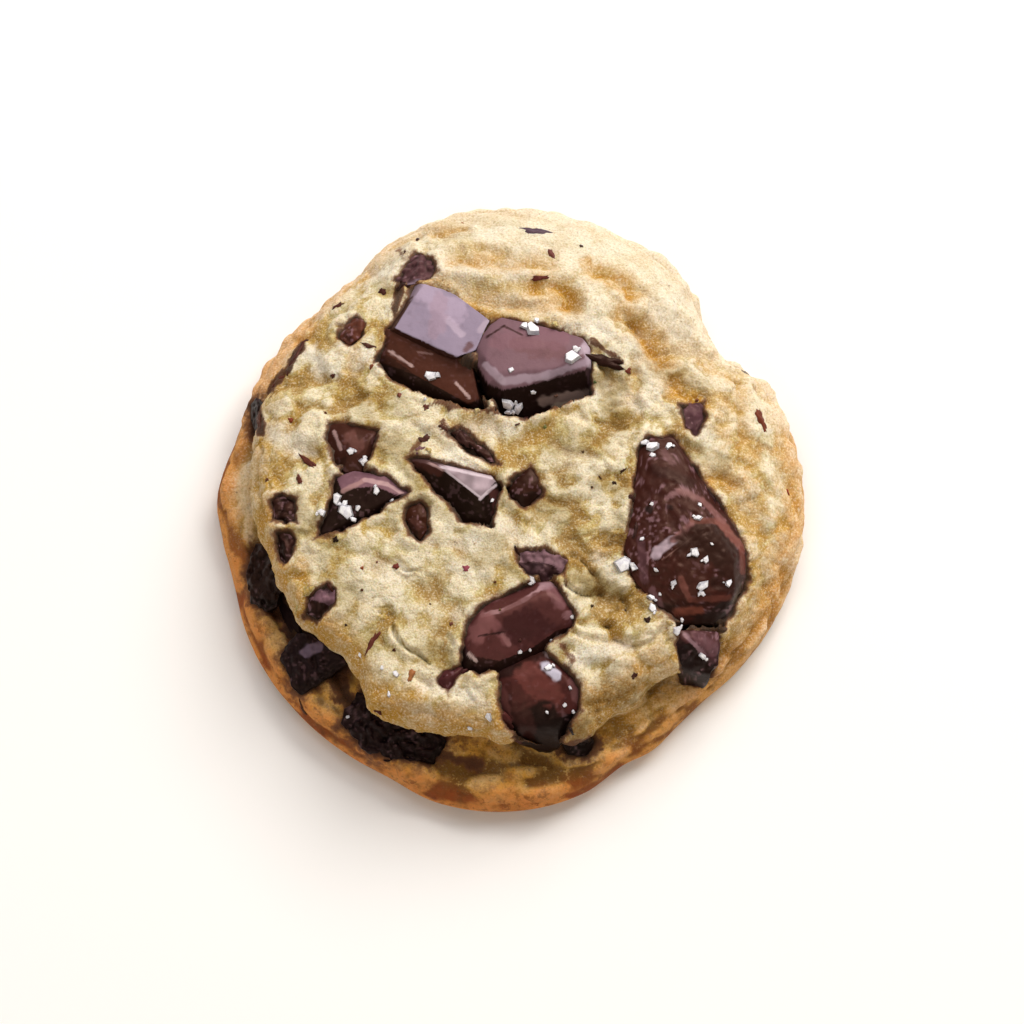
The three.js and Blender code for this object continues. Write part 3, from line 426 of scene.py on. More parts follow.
        (-21.9, -30.2, 9.4), (-21.2, -32.0, 9.6), (-17.3, -35.0, 9.6), (-11.8, -36.3, 9.2),
        (-9.9, -36.8, 8.8), (-24.5, -34.2, 7.6), (-22.5, -35.8, 7.4), (-19.7, -38.4, 7.3),
        (-15.5, -39.0, 7.3), (-12.1, -39.4, 7.3), (-10.8, -38.5, 7.5)]),
    "chunk_pitted_lip": ("#745660", "#24120f", 0.6, 3, 0.5, 0.3, False, [
        (-29.3, -17.4, 15.9), (-27.8, -16.3, 16.4), (-26.8, -15.0, 16.7), (-25.6, -16.2, 16.8),
        (-26.2, -18.5, 16.6), (-28.1, -20.2, 15.8), (-29.7, -19.3, 15.4), (-27.9, -18.0, 17.2)]),
    "chunk_small_right": ("#573a40", "#241210", 0.3, 4, 0.5, 0.3, False, [
        (25.3, 11.7, 16.6), (28.3, 12.4, 15.9), (28.7, 10.2, 16.2), (27.7, 7.3, 16.6), (26.4, 8.1, 16.8),
        (25.7, 9.8, 16.8), (26.7, 11.0, 17.2), (27.5, 9.0, 17.2)]),
    "chunk_rim_left": ("#2a140d", "#140a07", 0.6, 3, 0.5, 0.2, True, [
        (-39.0, 14.6, 7.6), (-38.1, 15.2, 9.2), (-37.0, 13.8, 11.4), (-36.8, 12.0, 11.8),
        (-37.3, 9.6, 11.4), (-38.2, 10.8, 9.4), (-38.5, 13.3, 8.8)]),
    "chunk_front_chip": ("#472224", "#241010", 0.14, 4, 0.4, 0.3, False, [
        (-10.2, -29.9, 17.1), (-9.3, -28.5, 17.2), (-6.9, -28.0, 17.3), (-7.9, -29.3, 17.3),
        (-9.0, -31.2, 17.1), (-8.7, -29.4, 17.8)]),
    "chunk_under_right": ("#221716", "#100a0a", 0.35, 3, 0.4, 0.4, True, [
        (7.9, -36.8, 9.0), (10.1, -36.3, 9.6), (12.0, -36.9, 7.8), (11.0, -38.6, 7.3), (8.7, -38.5, 7.4)]),
}
print(len(CHUNKS), "chunks with", sum(len(row[7]) for row in CHUNKS.values()), "corners")

# %% The solid model's centring
# The solid model was moved by a few hundredths of a millimetre when it was centred, and one
# chunk's lowest corner tells by how much.
low_cad = np.array(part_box("chunk_diamond")[0]) * 1000
low_table = np.array(CHUNKS["chunk_diamond"][7]).min(axis=0)
SHIFT = np.append(low_cad[:2] - low_table[:2], 0.0)
print("centred by", SHIFT.round(3), "mm")

# %% [markdown]
# ## Planes and outlines
# The hull's upper side is a few planes, and its top at any place is the lowest of them. A soft
# minimum in place of the plain one rounds the edges: the sharper it is, the crisper the edge.
# The outline seen from above is a ring of lines, and the largest distance beyond one of them
# says how far outside a place is.

# %% Planes of a hull
def upper_planes(corners):
    """Planes z = a x + b y + c over the corners: through three of them, with none above."""
    three = np.array(list(itertools.combinations(range(len(corners)), 3)))
    p, q, r = corners[three[:, 0]], corners[three[:, 1]], corners[three[:, 2]]
    normal = np.cross(q - p, r - p)
    normal = normal[np.abs(normal[:, 2]) > 1e-6]
    p = p[np.abs(np.cross(q - p, r - p)[:, 2]) > 1e-6]
    slope = -normal[:, :2] / normal[:, 2:]
    offset = p[:, 2] - (slope * p[:, :2]).sum(axis=1)
    above = corners[:, 2] - (slope @ corners[:, :2].T + offset[:, None])
    keep = (above.max(axis=1) < 1e-6) & (np.hypot(*slope.T) < 14)
    return np.unique(np.column_stack([slope, offset])[keep].round(5), axis=0)


def top_height(planes, xy, sharp):
    """Height of a chunk's top: the lowest of its planes, with edges rounded by a soft minimum."""
    z = xy @ planes[:, :2].T + planes[:, 2]
    low = z.min(axis=-1, keepdims=True)
    return low[..., 0] - np.log(np.exp(-sharp * (z - low)).sum(axis=-1)) / sharp


cube = np.array(list(itertools.product((0.0, 1.0), repeat=3)))
print("a cube's upper side is", len(upper_planes(cube)), "plane")

# %% Outline in plan
def outline_lines(corners):
    """Lines n . p = c round the corners' outline in plan, n pointing outwards."""
    a, b = np.array(list(itertools.permutations(range(len(corners)), 2))).T
    along = corners[b, :2] - corners[a, :2]
    n = np.column_stack([along[:, 1], -along[:, 0]])
    n = n / np.maximum(np.hypot(*n.T), 1e-9)[:, None]
    c = (n * corners[a, :2]).sum(axis=1)
    keep = (corners[:, :2] @ n.T - c).max(axis=0) < 1e-6
    return np.unique(np.column_stack([n, c])[keep].round(5), axis=0)


def outline_distance(lines, xy):
    """How far outside the outline a place lies in plan, negative inside."""
    return (xy @ lines[:, :2].T - lines[:, 2]).max(axis=-1)


class Chunk:
    """Corners, planes and outline of one piece of chocolate, worked out once."""

    def __init__(self, name, light, dark, pits, sharp, level, grow, tucked, corners):
        self.name, self.light, self.dark, self.pits, self.sharp = name, light, dark, pits, sharp
        self.level, self.grow, self.tucked = level, grow, tucked
        self.corners = np.array(corners, float) + SHIFT
        self.planes = upper_planes(self.corners)
        self.lines = outline_lines(self.corners)
        self.middle = self.corners[:, :2].mean(axis=0)


chunks = [Chunk(name, *row) for name, row in CHUNKS.items()]
print("planes of each chunk:", [len(c.planes) for c in chunks])

# %% [markdown]
# ## Mounds and creases
# The top rose and sank back in the oven, so it is lumpy, with folds and cracks where it gave way.
# The largest lumps and folds have places of their own, measured from the pole in millimetres. A
# mound is a bell, and one with a negative height is a shallow valley. A crease is a bent
# line: the dough sinks along it, swells a little on both sides, and is golden where it baked
# through.

# %% Mounds
# x, y, reach along x, reach along y, height
MOUNDS = [
    (-26, 21, 4, 3, .6), (-34, 8, 3, 2.4, .5), (-18, 8, 4, 5, .3), (-4, 38.4, 10, 1.4, .6),
    (-3, 33.2, 10, 1.5, 1.1), (2.5, 28.6, 4.2, 1.6, .8), (8.6, 25.6, 4, 1.7, .9), (14.5, 28.6, 3.4, 2, .7),
    (14.6, 22.6, 3, 2, .6), (24, 26.5, 5, 3, .7), (30, 13.5, 3, 4, .4), (12.5, -18.5, 2.5, 1.6, .7),
    (20, -21, 4, 3, .9), (14.4, -25.4, 4.2, 1.1, 1.1), (11, -23.5, 3, 2.2, .4), (-11, -32, 5.4, 1.6, .9),
    (-20, -18.5, 4, 4, .4), (-6, -11.4, 5, 3, .4), (11, -2, 4, 6, .2), (-3, 7, 4, 3, -.3),
    (8, 12.4, 4, 1.4, .3), (19.6, 27.4, 2.2, 1.8, .4), (26.5, 19.6, 2.4, 2, .35), (37.5, -3, 2, 5, .25),
    (12.6, -10.4, 2.4, 1.6, .45), (15.6, -5.2, 2.2, 3, .35), (8.6, -6.2, 2.6, 2, .3),
    (14.4, 6.6, 2.4, 3, .25), (10.6, -14.8, 2, 1.6, .4), (11.5, 15.5, 4, 2.4, -.6),
    (15.2, 10.6, 2, 3.4, -.6), (4.9, -2.4, 6, 2.6, -.5), (11.8, -16.4, 3.4, 1.6, -.8),
    (7.6, -31, 2.6, 3.4, -.6), (-10, -25.7, 2.6, 2, -.5), (-12, 5.6, 6, 2, -.4), (-27, -4, 3, 4, .4)]


def mounds(x, y):
    """Sum of the mounds, each a bell of its own height and reach."""
    h = np.zeros_like(x)
    for mx, my, rx, ry, rise in MOUNDS:
        h = h + rise * np.exp(-((x - mx - POLE[0]) / rx) ** 2 - ((y - my - POLE[1]) / ry) ** 2)
    return h


print(len(MOUNDS), "mounds and valleys")

# %% Creases
# start, bend, end, half width, depth, how golden
CREASES = [
    (-5.8, 37.4, -3.3, 36.2, -1.5, 36.8, .5, .35, .6), (-8, 35.4, -2, 35.3, 5, 34.6, .8, .45, .8),
    (-11.6, 31.8, -4.5, 27.0, 2, 27.8, 1.3, .7, .7), (2, 27.8, 6, 28.8, 8.4, 28.3, 1.2, .6, .7),
    (3.5, 31, 8.8, 32.2, 8, 28.2, .8, .75, 1.), (12.3, 34.1, 15.6, 34.3, 18.2, 30.5, .7, .55, 1.),
    (17.2, 27.3, 19, 24.3, 22.6, 20, .8, .75, 1.), (28.3, 20.5, 30.5, 19, 33.2, 17.6, .7, .5, .6),
    (33.2, 17.4, 34.5, 13, 34.2, 9.4, .6, .45, .6), (24, 16, 26.5, 14.7, 28.2, 12.8, .8, .65, 1.),
    (33.8, 4.2, 36.4, 0, 36.4, -4.2, .6, .4, .4), (28.2, 1.2, 30.2, 1.7, 32.2, 1.5, .7, .5, .9),
    (-17.3, -21, -15.6, -24.3, -12.1, -26.8, .24, .9, 0.),
    (-19.4, -18.9, -18, -19.5, -17, -18.8, .25, .5, 0.),
    (-16.3, -11.2, -15.3, -12.8, -14.2, -12.6, .24, .5, 0.),
    (-13.4, -12.9, -12.6, -13.8, -11.9, -13.9, .22, .5, 0.),
    (-14.2, -29, -12, -30.5, -8.5, -30, .45, .45, .2), (-9.1, -22.3, -8.4, -23.2, -7.9, -24, .3, .5, 0.),
    (-6.4, -30.4, -5.9, -31.4, -5.3, -32.2, .25, .4, 0.),
    (10.5, -20.1, 12, -21.4, 14.8, -20.5, .35, .9, .1), (14.4, -20.7, 14.2, -23.5, 18.2, -23.5, .5, .6, .3),
    (16, -15.4, 16.1, -17.3, 17.3, -18.9, .35, .8, .1), (2.2, -5.7, 3.2, -6.2, 4.2, -7, .4, .35, 0.),
    (6, -7.6, 6.8, -7.8, 7.6, -7.5, .3, .3, 0.), (-37, 6.5, -38.2, 3, -36.9, -2.5, .4, .5, .3),
    (-11.5, 41.3, -9, 42.4, -6.8, 42, .5, .3, .6), (8.6, -10.6, 10.8, -12.8, 12.6, -13.2, .35, .8, .1),
    (7, -14, 9, -16.8, 13, -16.2, .35, .9, .1), (18.2, -11, 17.4, -14, 18.6, -16.6, .35, .7, .1),
    (9, -21.6, 13, -24.6, 19.6, -22, .3, .5, .2), (22, -20, 21, -22.4, 18.4, -23.6, .35, .6, .3),
    (12.8, -7.2, 13.6, -9, 15.8, -8.6, .4, .4, .2), (-3.4, 10.6, 4, 12.4, 10.6, 10.2, .45, .45, .2),
    (16.4, 12.6, 19, 14.2, 18.6, 17.6, .5, .5, .4)]


def bend_distance(xy, line):
    """Distance in plan to a bent line, as the nearest of eight short straight pieces."""
    t = np.linspace(0, 1, 9)[:, None]
    a, b, c = np.array(line[:6], float).reshape(3, 2) + POLE
    points = (1 - t) ** 2 * a + 2 * t * (1 - t) * b + t ** 2 * c
    best = np.full(xy.shape[:-1], 99.0)
    for start, end in zip(points[:-1], points[1:]):
        along = end - start
        share = np.clip(((xy - start) @ along) / (along @ along), 0, 1)
        best = np.minimum(best, np.linalg.norm(xy - start - share[..., None] * along, axis=-1))
    return best


def folds(xy):
    """Depth of the creases, negative on their swollen sides, and how golden they are."""
    depth, golden = np.zeros(xy.shape[:-1]), np.zeros(xy.shape[:-1])
    for line in CREASES:
        half, deep, gold = line[6:]
        wider = 1 + 0.4 * gold
        d = bend_distance(xy, line) / half / wider
        depth = depth + deep * wider * (1.15 * np.exp(-1.2 * d) - 0.34 * np.exp(-((d - 2.3) / 1.2) ** 2))
        golden = np.maximum(golden, gold * np.exp(-(d / 1.7) ** 2))
    return depth, golden


print(len(CREASES), "creases, the deepest", max(line[7] for line in CREASES), "mm")

# %% [markdown]
# ## Crumb and wrinkles
# Between the folds the dough broke into crumbs of four sizes, from 5 mm down to 0.6 mm. They are
# low domes with creases between them, and a map says where they are rough and where the
# surface stayed smooth. The low side was drawn out as the dough spread, so its noise is
# stretched round the cookie into short wrinkles. Under the lip the skirt ends in a low roll.

# %% Crumbs
CRUMB_SIZES = ((4.8, 0.72, 14), (2.3, 0.34, 16), (1.2, 0.22, 17), (0.65, 0.11, 13))


def roughness(x, y, high):
    """How rough it broke: crumbly right of the middle and at the back, smooth on lip and far rim."""
    smooth = np.exp(-((x + 20) / 13) ** 2 - ((y + 24) / 12) ** 2)
    rough = 0.50 + 0.50 * np.exp(-((x - 14) / 10) ** 2 - ((y + 9) / 16) ** 2) - 0.14 * smooth
    rough = rough + 0.35 * np.exp(-((x - 22) / 12) ** 2 - ((y - 20) / 12) ** 2)
    rough = rough + 0.35 * np.exp(-((x + 26) / 10) ** 2 - ((y - 15) / 9) ** 2)
    rough = rough * (1 - 0.30 * np.exp(-((x + 1) / 17) ** 2 - ((y - 31) / 7) ** 2))
    return rough * (1 - 0.6 * ramp(0.4 * x + 0.92 * y, 33, 40)) * (0.6 + 0.4 * high)


def crumb_relief(p, wander):
    """Domes of four sizes, each one minus the cube of the distance to its top, on soft noise."""
    bumps = 0.20 * cloud(p, 5.0, 10) + 0.14 * cloud(p, 2.0, 11) + 0.08 * cloud(p, 0.9, 12)
    for size, rise, seed in CRUMB_SIZES:
        dome = 1 - (crumbs(p + wander * size / 5, size, seed) / 0.62) ** 3
        bumps = bumps + rise * np.clip(dome, -0.7, 0.75)
    return bumps


print("crumbs of", [size for size, _, _ in CRUMB_SIZES], "mm")

# %% Wrinkles and the skirt's roll
def wrinkles(p, turn, radius):
    """Noise stretched round the cookie, and torn domes on the skirt."""
    z = p[..., 2]
    drawn = np.stack([turn * 9, radius * 0.55, z * 0.75], axis=-1)
    low = 1 - ramp(z, 6.5, 10)
    soft = 0.40 * cloud(drawn, 1.3, 15) + 0.34 * cloud(drawn, 0.6, 18)
    torn = 1 - (crumbs(drawn, 1.5, 19) / 0.62) ** 2
    return (1 - ramp(z, 6, 12)) * soft + low * (0.8 * np.clip(torn, -0.7, 0.8) - 0.15)


def skirt_roll(p, turn, radius):
    """A low roll 2 mm in from the rim and a trough inside it, where the lip hangs over."""
    degrees = np.degrees(turn)
    inside = around(RIM, degrees) - radius
    ledge = np.clip(around(OVERHANG, degrees), 0, 1) * (1 - ramp(p[..., 2], 6.5, 10))
    return ledge * (0.55 * np.exp(-((inside - 2.0) / 1.3) ** 2) - 0.7 * np.exp(-((inside - 4.9) / 1.7) ** 2))


def slow_waves(x, y, z):
    """Slow waves of the whole body, a few tenths of a millimetre high, as in the solid model."""
    return 0.8 * (0.20 * np.sin(0.55 * x + 1.3) * np.sin(0.48 * y + 0.4)
                  + 0.14 * np.sin(0.9 * x - 0.6 * y + 0.5 * z)
                  + 0.12 * np.sin(0.7 * x + 1.1 * y - 0.8 * z + 2))


def crags(p):
    """Relief in mm along the normal, how golden it baked, and its hollows (1) and tops (-1)."""
    x, y, z = p[..., 0], p[..., 1], p[..., 2]
    high = ramp(z, 8, 10)
    wander = np.stack([cloud(p, 2.6, 5), cloud(p, 2.6, 6)], axis=-1) * 0.8
    depth, golden = folds(p[..., :2] + wander)
    turn = np.arctan2(y - POLE[1], x - POLE[0])
    radius = np.hypot(x - POLE[0], y - POLE[1])
    bumps = roughness(x, y, high) * (crumb_relief(p, wander[..., :1]) - 0.40) + wrinkles(p, turn, radius)
    relief = slow_waves(x, y, z) + high * (mounds(x, y) - depth) + skirt_roll(p, turn, radius) + bumps
    return relief, high * golden, np.clip(-(bumps + 0.10) / 0.32, -1, 1)


print("relief at the crown:", crags(np.array([[0.0, 0.0, CROWN]]))[0].round(2), "mm")

# %% [markdown]
# ## The dough's skin
# One closed surface: a square grid bent to a round top as far as the shoulder, so that no pole
# gathers its faces, then rings down the side and a flat baked base. Where a chunk lies, the
# dough gives way to it and swells a little round it, and melted chocolate stains its edge; under
# the lip that stain is painted shade as well.

# %% Grid and rings
TOP, SIDE = 104, 62


def dough_places():
    """Share and direction of every vertex of the top grid, and of the rings that go on from its edge."""
    i, j = np.meshgrid(np.arange(-TOP, TOP + 1), np.arange(-TOP, TOP + 1))
    reach = np.maximum(abs(i), abs(j)) / TOP
    with np.errstate(divide="ignore", invalid="ignore"):
        wide = 45.0 * j / i + 180 * (i < 0)
        tall = 90 - 45.0 * i / j + 180 * (j < 0)
    turn = np.where(abs(i) >= abs(j), wide, tall)
    turn[TOP, TOP] = 0
    down = np.interp(np.arange(1, SIDE + 1) / SIDE, [0, .78, 1], [SHOULDER, .88, 1])
    ring_turn = np.arange(8 * TOP) / (8 * TOP) * 360
    return SHOULDER * reach, turn % 360, *np.meshgrid(down, ring_turn, indexing="ij")


def dough_faces():
    """Squares of the grid and of the rings round it, and the last ring's vertices."""
    width = 2 * TOP + 1
    index = np.arange(width * width).reshape(width, width)
    grid = np.stack([index[:-1, :-1], index[:-1, 1:], index[1:, 1:], index[1:, :-1]], axis=-1)
    edge = np.concatenate([index[:-1, -1], index[-1, :0:-1], index[:0:-1, 0], index[0, :-1]])
    edge = np.roll(edge, -TOP)
    rings = np.vstack([edge, width * width + np.arange(SIDE * 8 * TOP).reshape(SIDE, -1)])
    on = np.roll(rings, -1, axis=1)
    sides = np.stack([rings[:-1], rings[1:], on[1:], on[:-1]], axis=-1).reshape(-1, 4)
    return grid.reshape(-1, 4), sides, rings[-1]


grid, sides, last = dough_faces()
print("top grid of", len(grid), "faces,", SIDE, "rings of", len(last), "faces")

# %% The bare skin
def bare_skin():
    """Vertices of the dough before the chunks, their normals, golden and hollow values, directions."""
    s0, a0, s1, a1 = dough_places()
    s, a = (np.concatenate([u.ravel(), v.ravel()])[:, None] for u, v in ((s0, s1), (a0, a1)))
    r, z, nr, nz = (v[:, 0] for v in profile(s, a))
    a = np.radians(a[:, 0])
    direction = np.column_stack([np.cos(a), np.sin(a)])
    p = np.column_stack([POLE + r[:, None] * direction, z])
    n = np.column_stack([nr[:, None] * direction, nz])
    h, golden, hollow = crags(p)
    p = p + (h * ramp(0.97 - s[:, 0], 0, 0.07))[:, None] * n + SHIFT
    return p, n, golden, hollow, np.degrees(a)


skin, skin_normal, golden, hollow, turn = bare_skin()
print("bare dough:", len(skin), "points")

# %% Pockets for the chunks
def press_in(p, n):
    """Sinks the skin under the chunks, swells it round them, and says how stained each point is; under the
    lip the stain is also painted shade.
    """
    stain_and_shade = np.zeros(len(p))
    ragged = 0.35 * cloud(p, 0.8, 21) + 0.45 * cloud(p, 2.2, 22)
    apart = np.stack([outline_distance(chunk.lines, p[:, :2]) for chunk in chunks], axis=1)
    open_chunks = np.array([not chunk.tucked for chunk in chunks])
    joined = -0.7 * np.log(np.exp(-np.clip(apart[:, open_chunks], -20, 20) / 0.7).sum(axis=1))
    for chunk, d in zip(chunks, apart.T):
        close = (d < 6) & (np.abs(p[:, 2] - chunk.corners[:, 2].mean()) < 7)
        # round a tucked chunk the stain spreads wider below the lip, and there it is also painted shade
        fade, below = (1.5, p[close, 2] < 9.0) if chunk.tucked else (0.50, True)
        smear_and_shade = below * np.exp(-np.maximum(d[close] - 0.05 + 0.7 * ragged[close], 0) / fade)
        stain_and_shade[close] = np.maximum(stain_and_shade[close], smear_and_shade)
        if chunk.tucked:
            continue
        inside = close & (d < 1.2) & (p[:, 2] > 8.5)
        swell = 0.48 * np.exp(-((d[close] - 1.0 + ragged[close]) / 0.8) ** 2) * ramp(p[close, 2], 8, 10)
        p[close] += swell[:, None] * n[close]
        top = top_height(chunk.planes, p[inside, :2], chunk.sharp) - 0.7
        gone = 1 - ramp(joined[inside] + 0.8 * ragged[inside], -0.45, 0.15)
        z = p[inside, 2]
        p[inside, 2] = z + gone * (np.minimum(z, top) - z)
    return stain_and_shade


stain_and_shade = press_in(skin, skin_normal)
print("stained points:", int((stain_and_shade > 0.5).sum()))

# %% [markdown]
# ## Where the dough browned, and where shade is painted
# Colours go by direction: curves round the cookie say how strongly the low side browned to a crust,
# how the edge on the tray went rusty (tray) or nearly black, and how the rim on the left turned the
# colour of a peach. The crust and the black edge are strongest on the near side, away from the
# window, where they are painted shade as well as browning. All are values that the mesh carries at
# each point, and the material mixes its colours by them.

# %% Browning by direction
# strongest on the near side, away from the window: browning and painted shade
CRUST_AND_SHADE = [
    (0, .45), (40, .25), (90, .25), (125, .45), (150, .70), (185, .75), (215, .95), (250, 1), (290, 1),
    (330, .75)]
TRAY = [
    (0, .35), (60, .10), (120, .20), (160, .6), (180, .85), (215, .9), (240, 1), (275, 1), (300, .65),
    (330, .35)]
PEACH = [
    (0, .4), (30, .2), (60, .1), (100, .15), (125, .5), (150, .85), (180, 1), (200, .7), (230, .2),
    (260, .1), (300, .4), (330, .55)]
# nearly black on the near edge, away from the window: burnt and painted shade
BURNT_AND_SHADE = [
    (0, .1), (60, 0), (130, .05), (180, .15), (205, .3), (225, .55), (245, .6), (268, .55), (290, .4),
    (310, .2), (340, .1)]
x, y, z = skin.T
ledge = np.clip(around(OVERHANG, turn), 0, 1)
reach = np.hypot(*(skin[:, :2] - POLE - SHIFT[:2]).T)
rim = around(RIM, turn)
wavy = z + 1.2 * cloud(skin, 2.8, 31)
crust_and_shade = around(CRUST_AND_SHADE, turn) * (1 - ramp(wavy, 1 + 5.5 * ledge, 6.5 + 4 * ledge))
outer = ramp(reach - rim + 0.9 * cloud(skin, 2.2, 30), -3.6, -0.8) * (z < 8)
tray = np.clip(around(TRAY, turn), 0, 1) * np.maximum(outer * ledge, 1 - ramp(wavy, 3.0, 6.0))
burnt_and_shade = np.clip(around(BURNT_AND_SHADE, turn), 0, 1) * np.clip(tray * 1.6, 0, 1)
outermost = ramp(reach / rim + 0.02 * cloud(skin, 4.0, 29), 0.90, 0.965)
peach = around(PEACH, turn) * outermost * ramp(z, 1, 3)
print("browned points:", int((crust_and_shade > 0.5).sum()), "of", len(skin))

# %% Golden lip, stained and shaded gutter, far side painted paler
# The lip's edge caught the heat, and its gold is also painted warm shade on a slope turned from the
# window; chocolate ran into the gutter below it, which is painted darker as the lip's shade too;
# and the far side, facing the window, is painted paler as light.
from_lip = reach - around(LIP, turn) * rim + 1.5 * cloud(skin, 3.5, 32)
# painted warm shade as well as baking: gold on the lip's slope, turned away from the window
lip_edge = ramp(from_lip, -6, -0.5) * ledge * ramp(z, 6.8, 7.8)
golden = np.maximum(golden, 0.95 * lip_edge)
# painted shade as well as chocolate: the gutter under the lip
gutter = ledge * ramp(z, 6.3, 7.2) * (1 - ramp(z, 9.0, 10.5)) * (turn > 185) * (turn < 268)
stain_and_shade = np.maximum(stain_and_shade, 0.42 * gutter)
# painted light: paler towards the far side, which faces the window
painted_window_light = ramp(0.45 * x + y, 14, 46) * (1 - golden)
print("golden points:", int((golden > 0.5).sum()), "pale points:", int((painted_window_light > 0.5).sum()))

# %% The base
# One point closes the base, as the middle of a fan. It is browned all over.
base_middle = len(skin)
skin = np.vstack([skin, [0.0, 0.0, 0.0]])
fan = np.column_stack([np.full(len(last), base_middle), np.roll(last, -1), last])
golden, hollow, stain_and_shade, crust_and_shade, tray, burnt_and_shade, peach, painted_window_light = (np.append(v, e) for v, e in (
    (golden, 0), (hollow, 0), (stain_and_shade, 0), (crust_and_shade, 1), (tray, 0.6), (burnt_and_shade, 0.3), (peach, 0), (painted_window_light, 0)))
print("base fan of", len(fan), "triangles")

# %% [markdown]
# ## Strokes on the dough
# The mounds and noise can't know where chocolate smeared, where a fold baked golden, or where
# flour lies and shade and highlights fall, so these are painted one by one, as a glaze is brushed
# on, painted shade and highlights among them. A stroke runs between two places seen in the picture
# and has a half width in millimetres and a strength.
# Its edge is broken up by noise. It ends as a value of the mesh, so it stays on the dough from
# every side.

# %% A stroke's strength
def segment_distance(xy, x0, y0, x1, y1):
    """Distance in plan to a straight piece of line."""
    start, along = np.array([x0, y0]), np.array([x1 - x0, y1 - y0])
    t = np.clip(((xy - start) @ along) / max(along @ along, 1e-9), 0, 1)
    return np.linalg.norm(xy - start - t[..., None] * along, axis=-1)


def strokes(table, seed):
    """Strength of a table's strokes at each point of the skin: full inside, broken up at the edge."""
    pixels = in_picture(skin)
    facing = ramp(skin[:, 2], 3, 5)
    broken = 0.5 * cloud(skin, 0.9, seed) + 0.5 * cloud(skin, 2.4, seed + 1)
    best = np.zeros(len(skin))
    for x0, y0, x1, y1, half, strength in table:
        d = PIXEL_MM * segment_distance(pixels, x0, y0, x1, y1) + half * broken
        best = np.maximum(best, strength * (1 - ramp(d, 0.3 * half, 1.5 * half)))
    return best * facing


seen = in_picture(skin)
print("the skin spans the pixels", seen.min(axis=0).round(), "to", seen.max(axis=0).round())

# %% Melted chocolate, with painted shadow and shade
# smears beside the chunks, some along their near edges also painted as their shadow, and in the
# hollow under the lip, below the lip's own height, where they are painted shade as well
SMEARS_AND_SHADOWS = [
    (686, 624, 722, 628, .8, 1.), (655, 606, 680, 628, .4, .4), (330, 482, 338, 500, .5, .7),
    (395, 492, 405, 498, .5, .6), (400, 284, 393, 326, .8, .9), (398, 250, 412, 262, .7, .5),
    (448, 404, 520, 412, .9, .7), (508, 412, 540, 402, .8, .8), (430, 404, 452, 400, .6, .7),
    (455, 436, 442, 424, .6, .7), (470, 446, 490, 462, .7, .8), (420, 443, 412, 452, .6, .6),
    (387, 344, 380, 366, .5, .7), (283, 372, 270, 392, .6, .8), (303, 343, 288, 370, .6, .9),
    (258, 405, 260, 432, .7, .9), (652, 446, 668, 470, .6, .7), (646, 470, 640, 520, .5, .6),
    (642, 545, 650, 600, .6, .6), (655, 605, 672, 640, .5, .4), (540, 560, 548, 580, .6, .7),
    (560, 560, 566, 585, .5, .6), (560, 640, 572, 660, .6, .6), (575, 690, 580, 712, .6, .7),
    (560, 745, 590, 742, .8, .7), (466, 350, 482, 376, 1.3, 1.), (510, 400, 560, 396, .5, .6),
    (592, 340, 622, 362, .5, .7)]
UNDER_LIP = [
    (276, 520, 284, 560, 1.0, .8), (276, 590, 300, 640, 2.2, 1.), (290, 625, 335, 645, 2.0, 1.),
    (330, 672, 350, 700, 1.6, .8), (345, 690, 366, 730, 1.6, .9), (430, 750, 480, 765, 1.2, .7),
    (560, 755, 600, 750, 1.0, .6)]
stain_and_shade = np.maximum(stain_and_shade, strokes(SMEARS_AND_SHADOWS, 33))
stain_and_shade = np.maximum(stain_and_shade, strokes(UNDER_LIP, 43) * (1 - ramp(skin[:, 2], 8.3, 9.3)))
print(len(SMEARS_AND_SHADOWS) + len(UNDER_LIP), "smears of chocolate")

# %% Golden folds and painted warm shade
# golden where folds baked; some strokes also darken folds and slopes that lie in shade, as painted shade
GILDED = [
    (428, 284, 452, 306, 1.0, .9), (452, 306, 520, 322, .8, .8), (586, 262, 632, 296, 1.0, .8),
    (622, 304, 652, 346, 1.0, .5), (655, 350, 690, 380, 1.0, .2), (540, 284, 566, 300, .9, .7),
    (634, 672, 680, 655, 1.0, .9), (570, 700, 640, 690, 2.2, .8), (590, 735, 650, 705, 2.2, .9),
    (660, 705, 700, 670, 1.8, .7), (350, 705, 380, 735, 1.4, .5), (380, 738, 470, 752, 1.4, .6),
    (690, 392, 700, 402, .8, .7), (300, 560, 312, 610, 1.2, .7), (270, 300, 300, 345, 1.0, .5),
    (360, 330, 345, 380, 1.1, .4), (745, 450, 755, 560, 2.4, .6), (785, 450, 795, 520, 2.4, .7),
    (715, 395, 735, 450, 1.6, .5), (785, 520, 760, 610, 2.6, .8), (700, 680, 745, 620, 2.6, .7),
    (540, 330, 560, 320, .8, .5)]
golden = np.maximum(golden, strokes(GILDED, 35))
print(len(GILDED), "golden strokes")

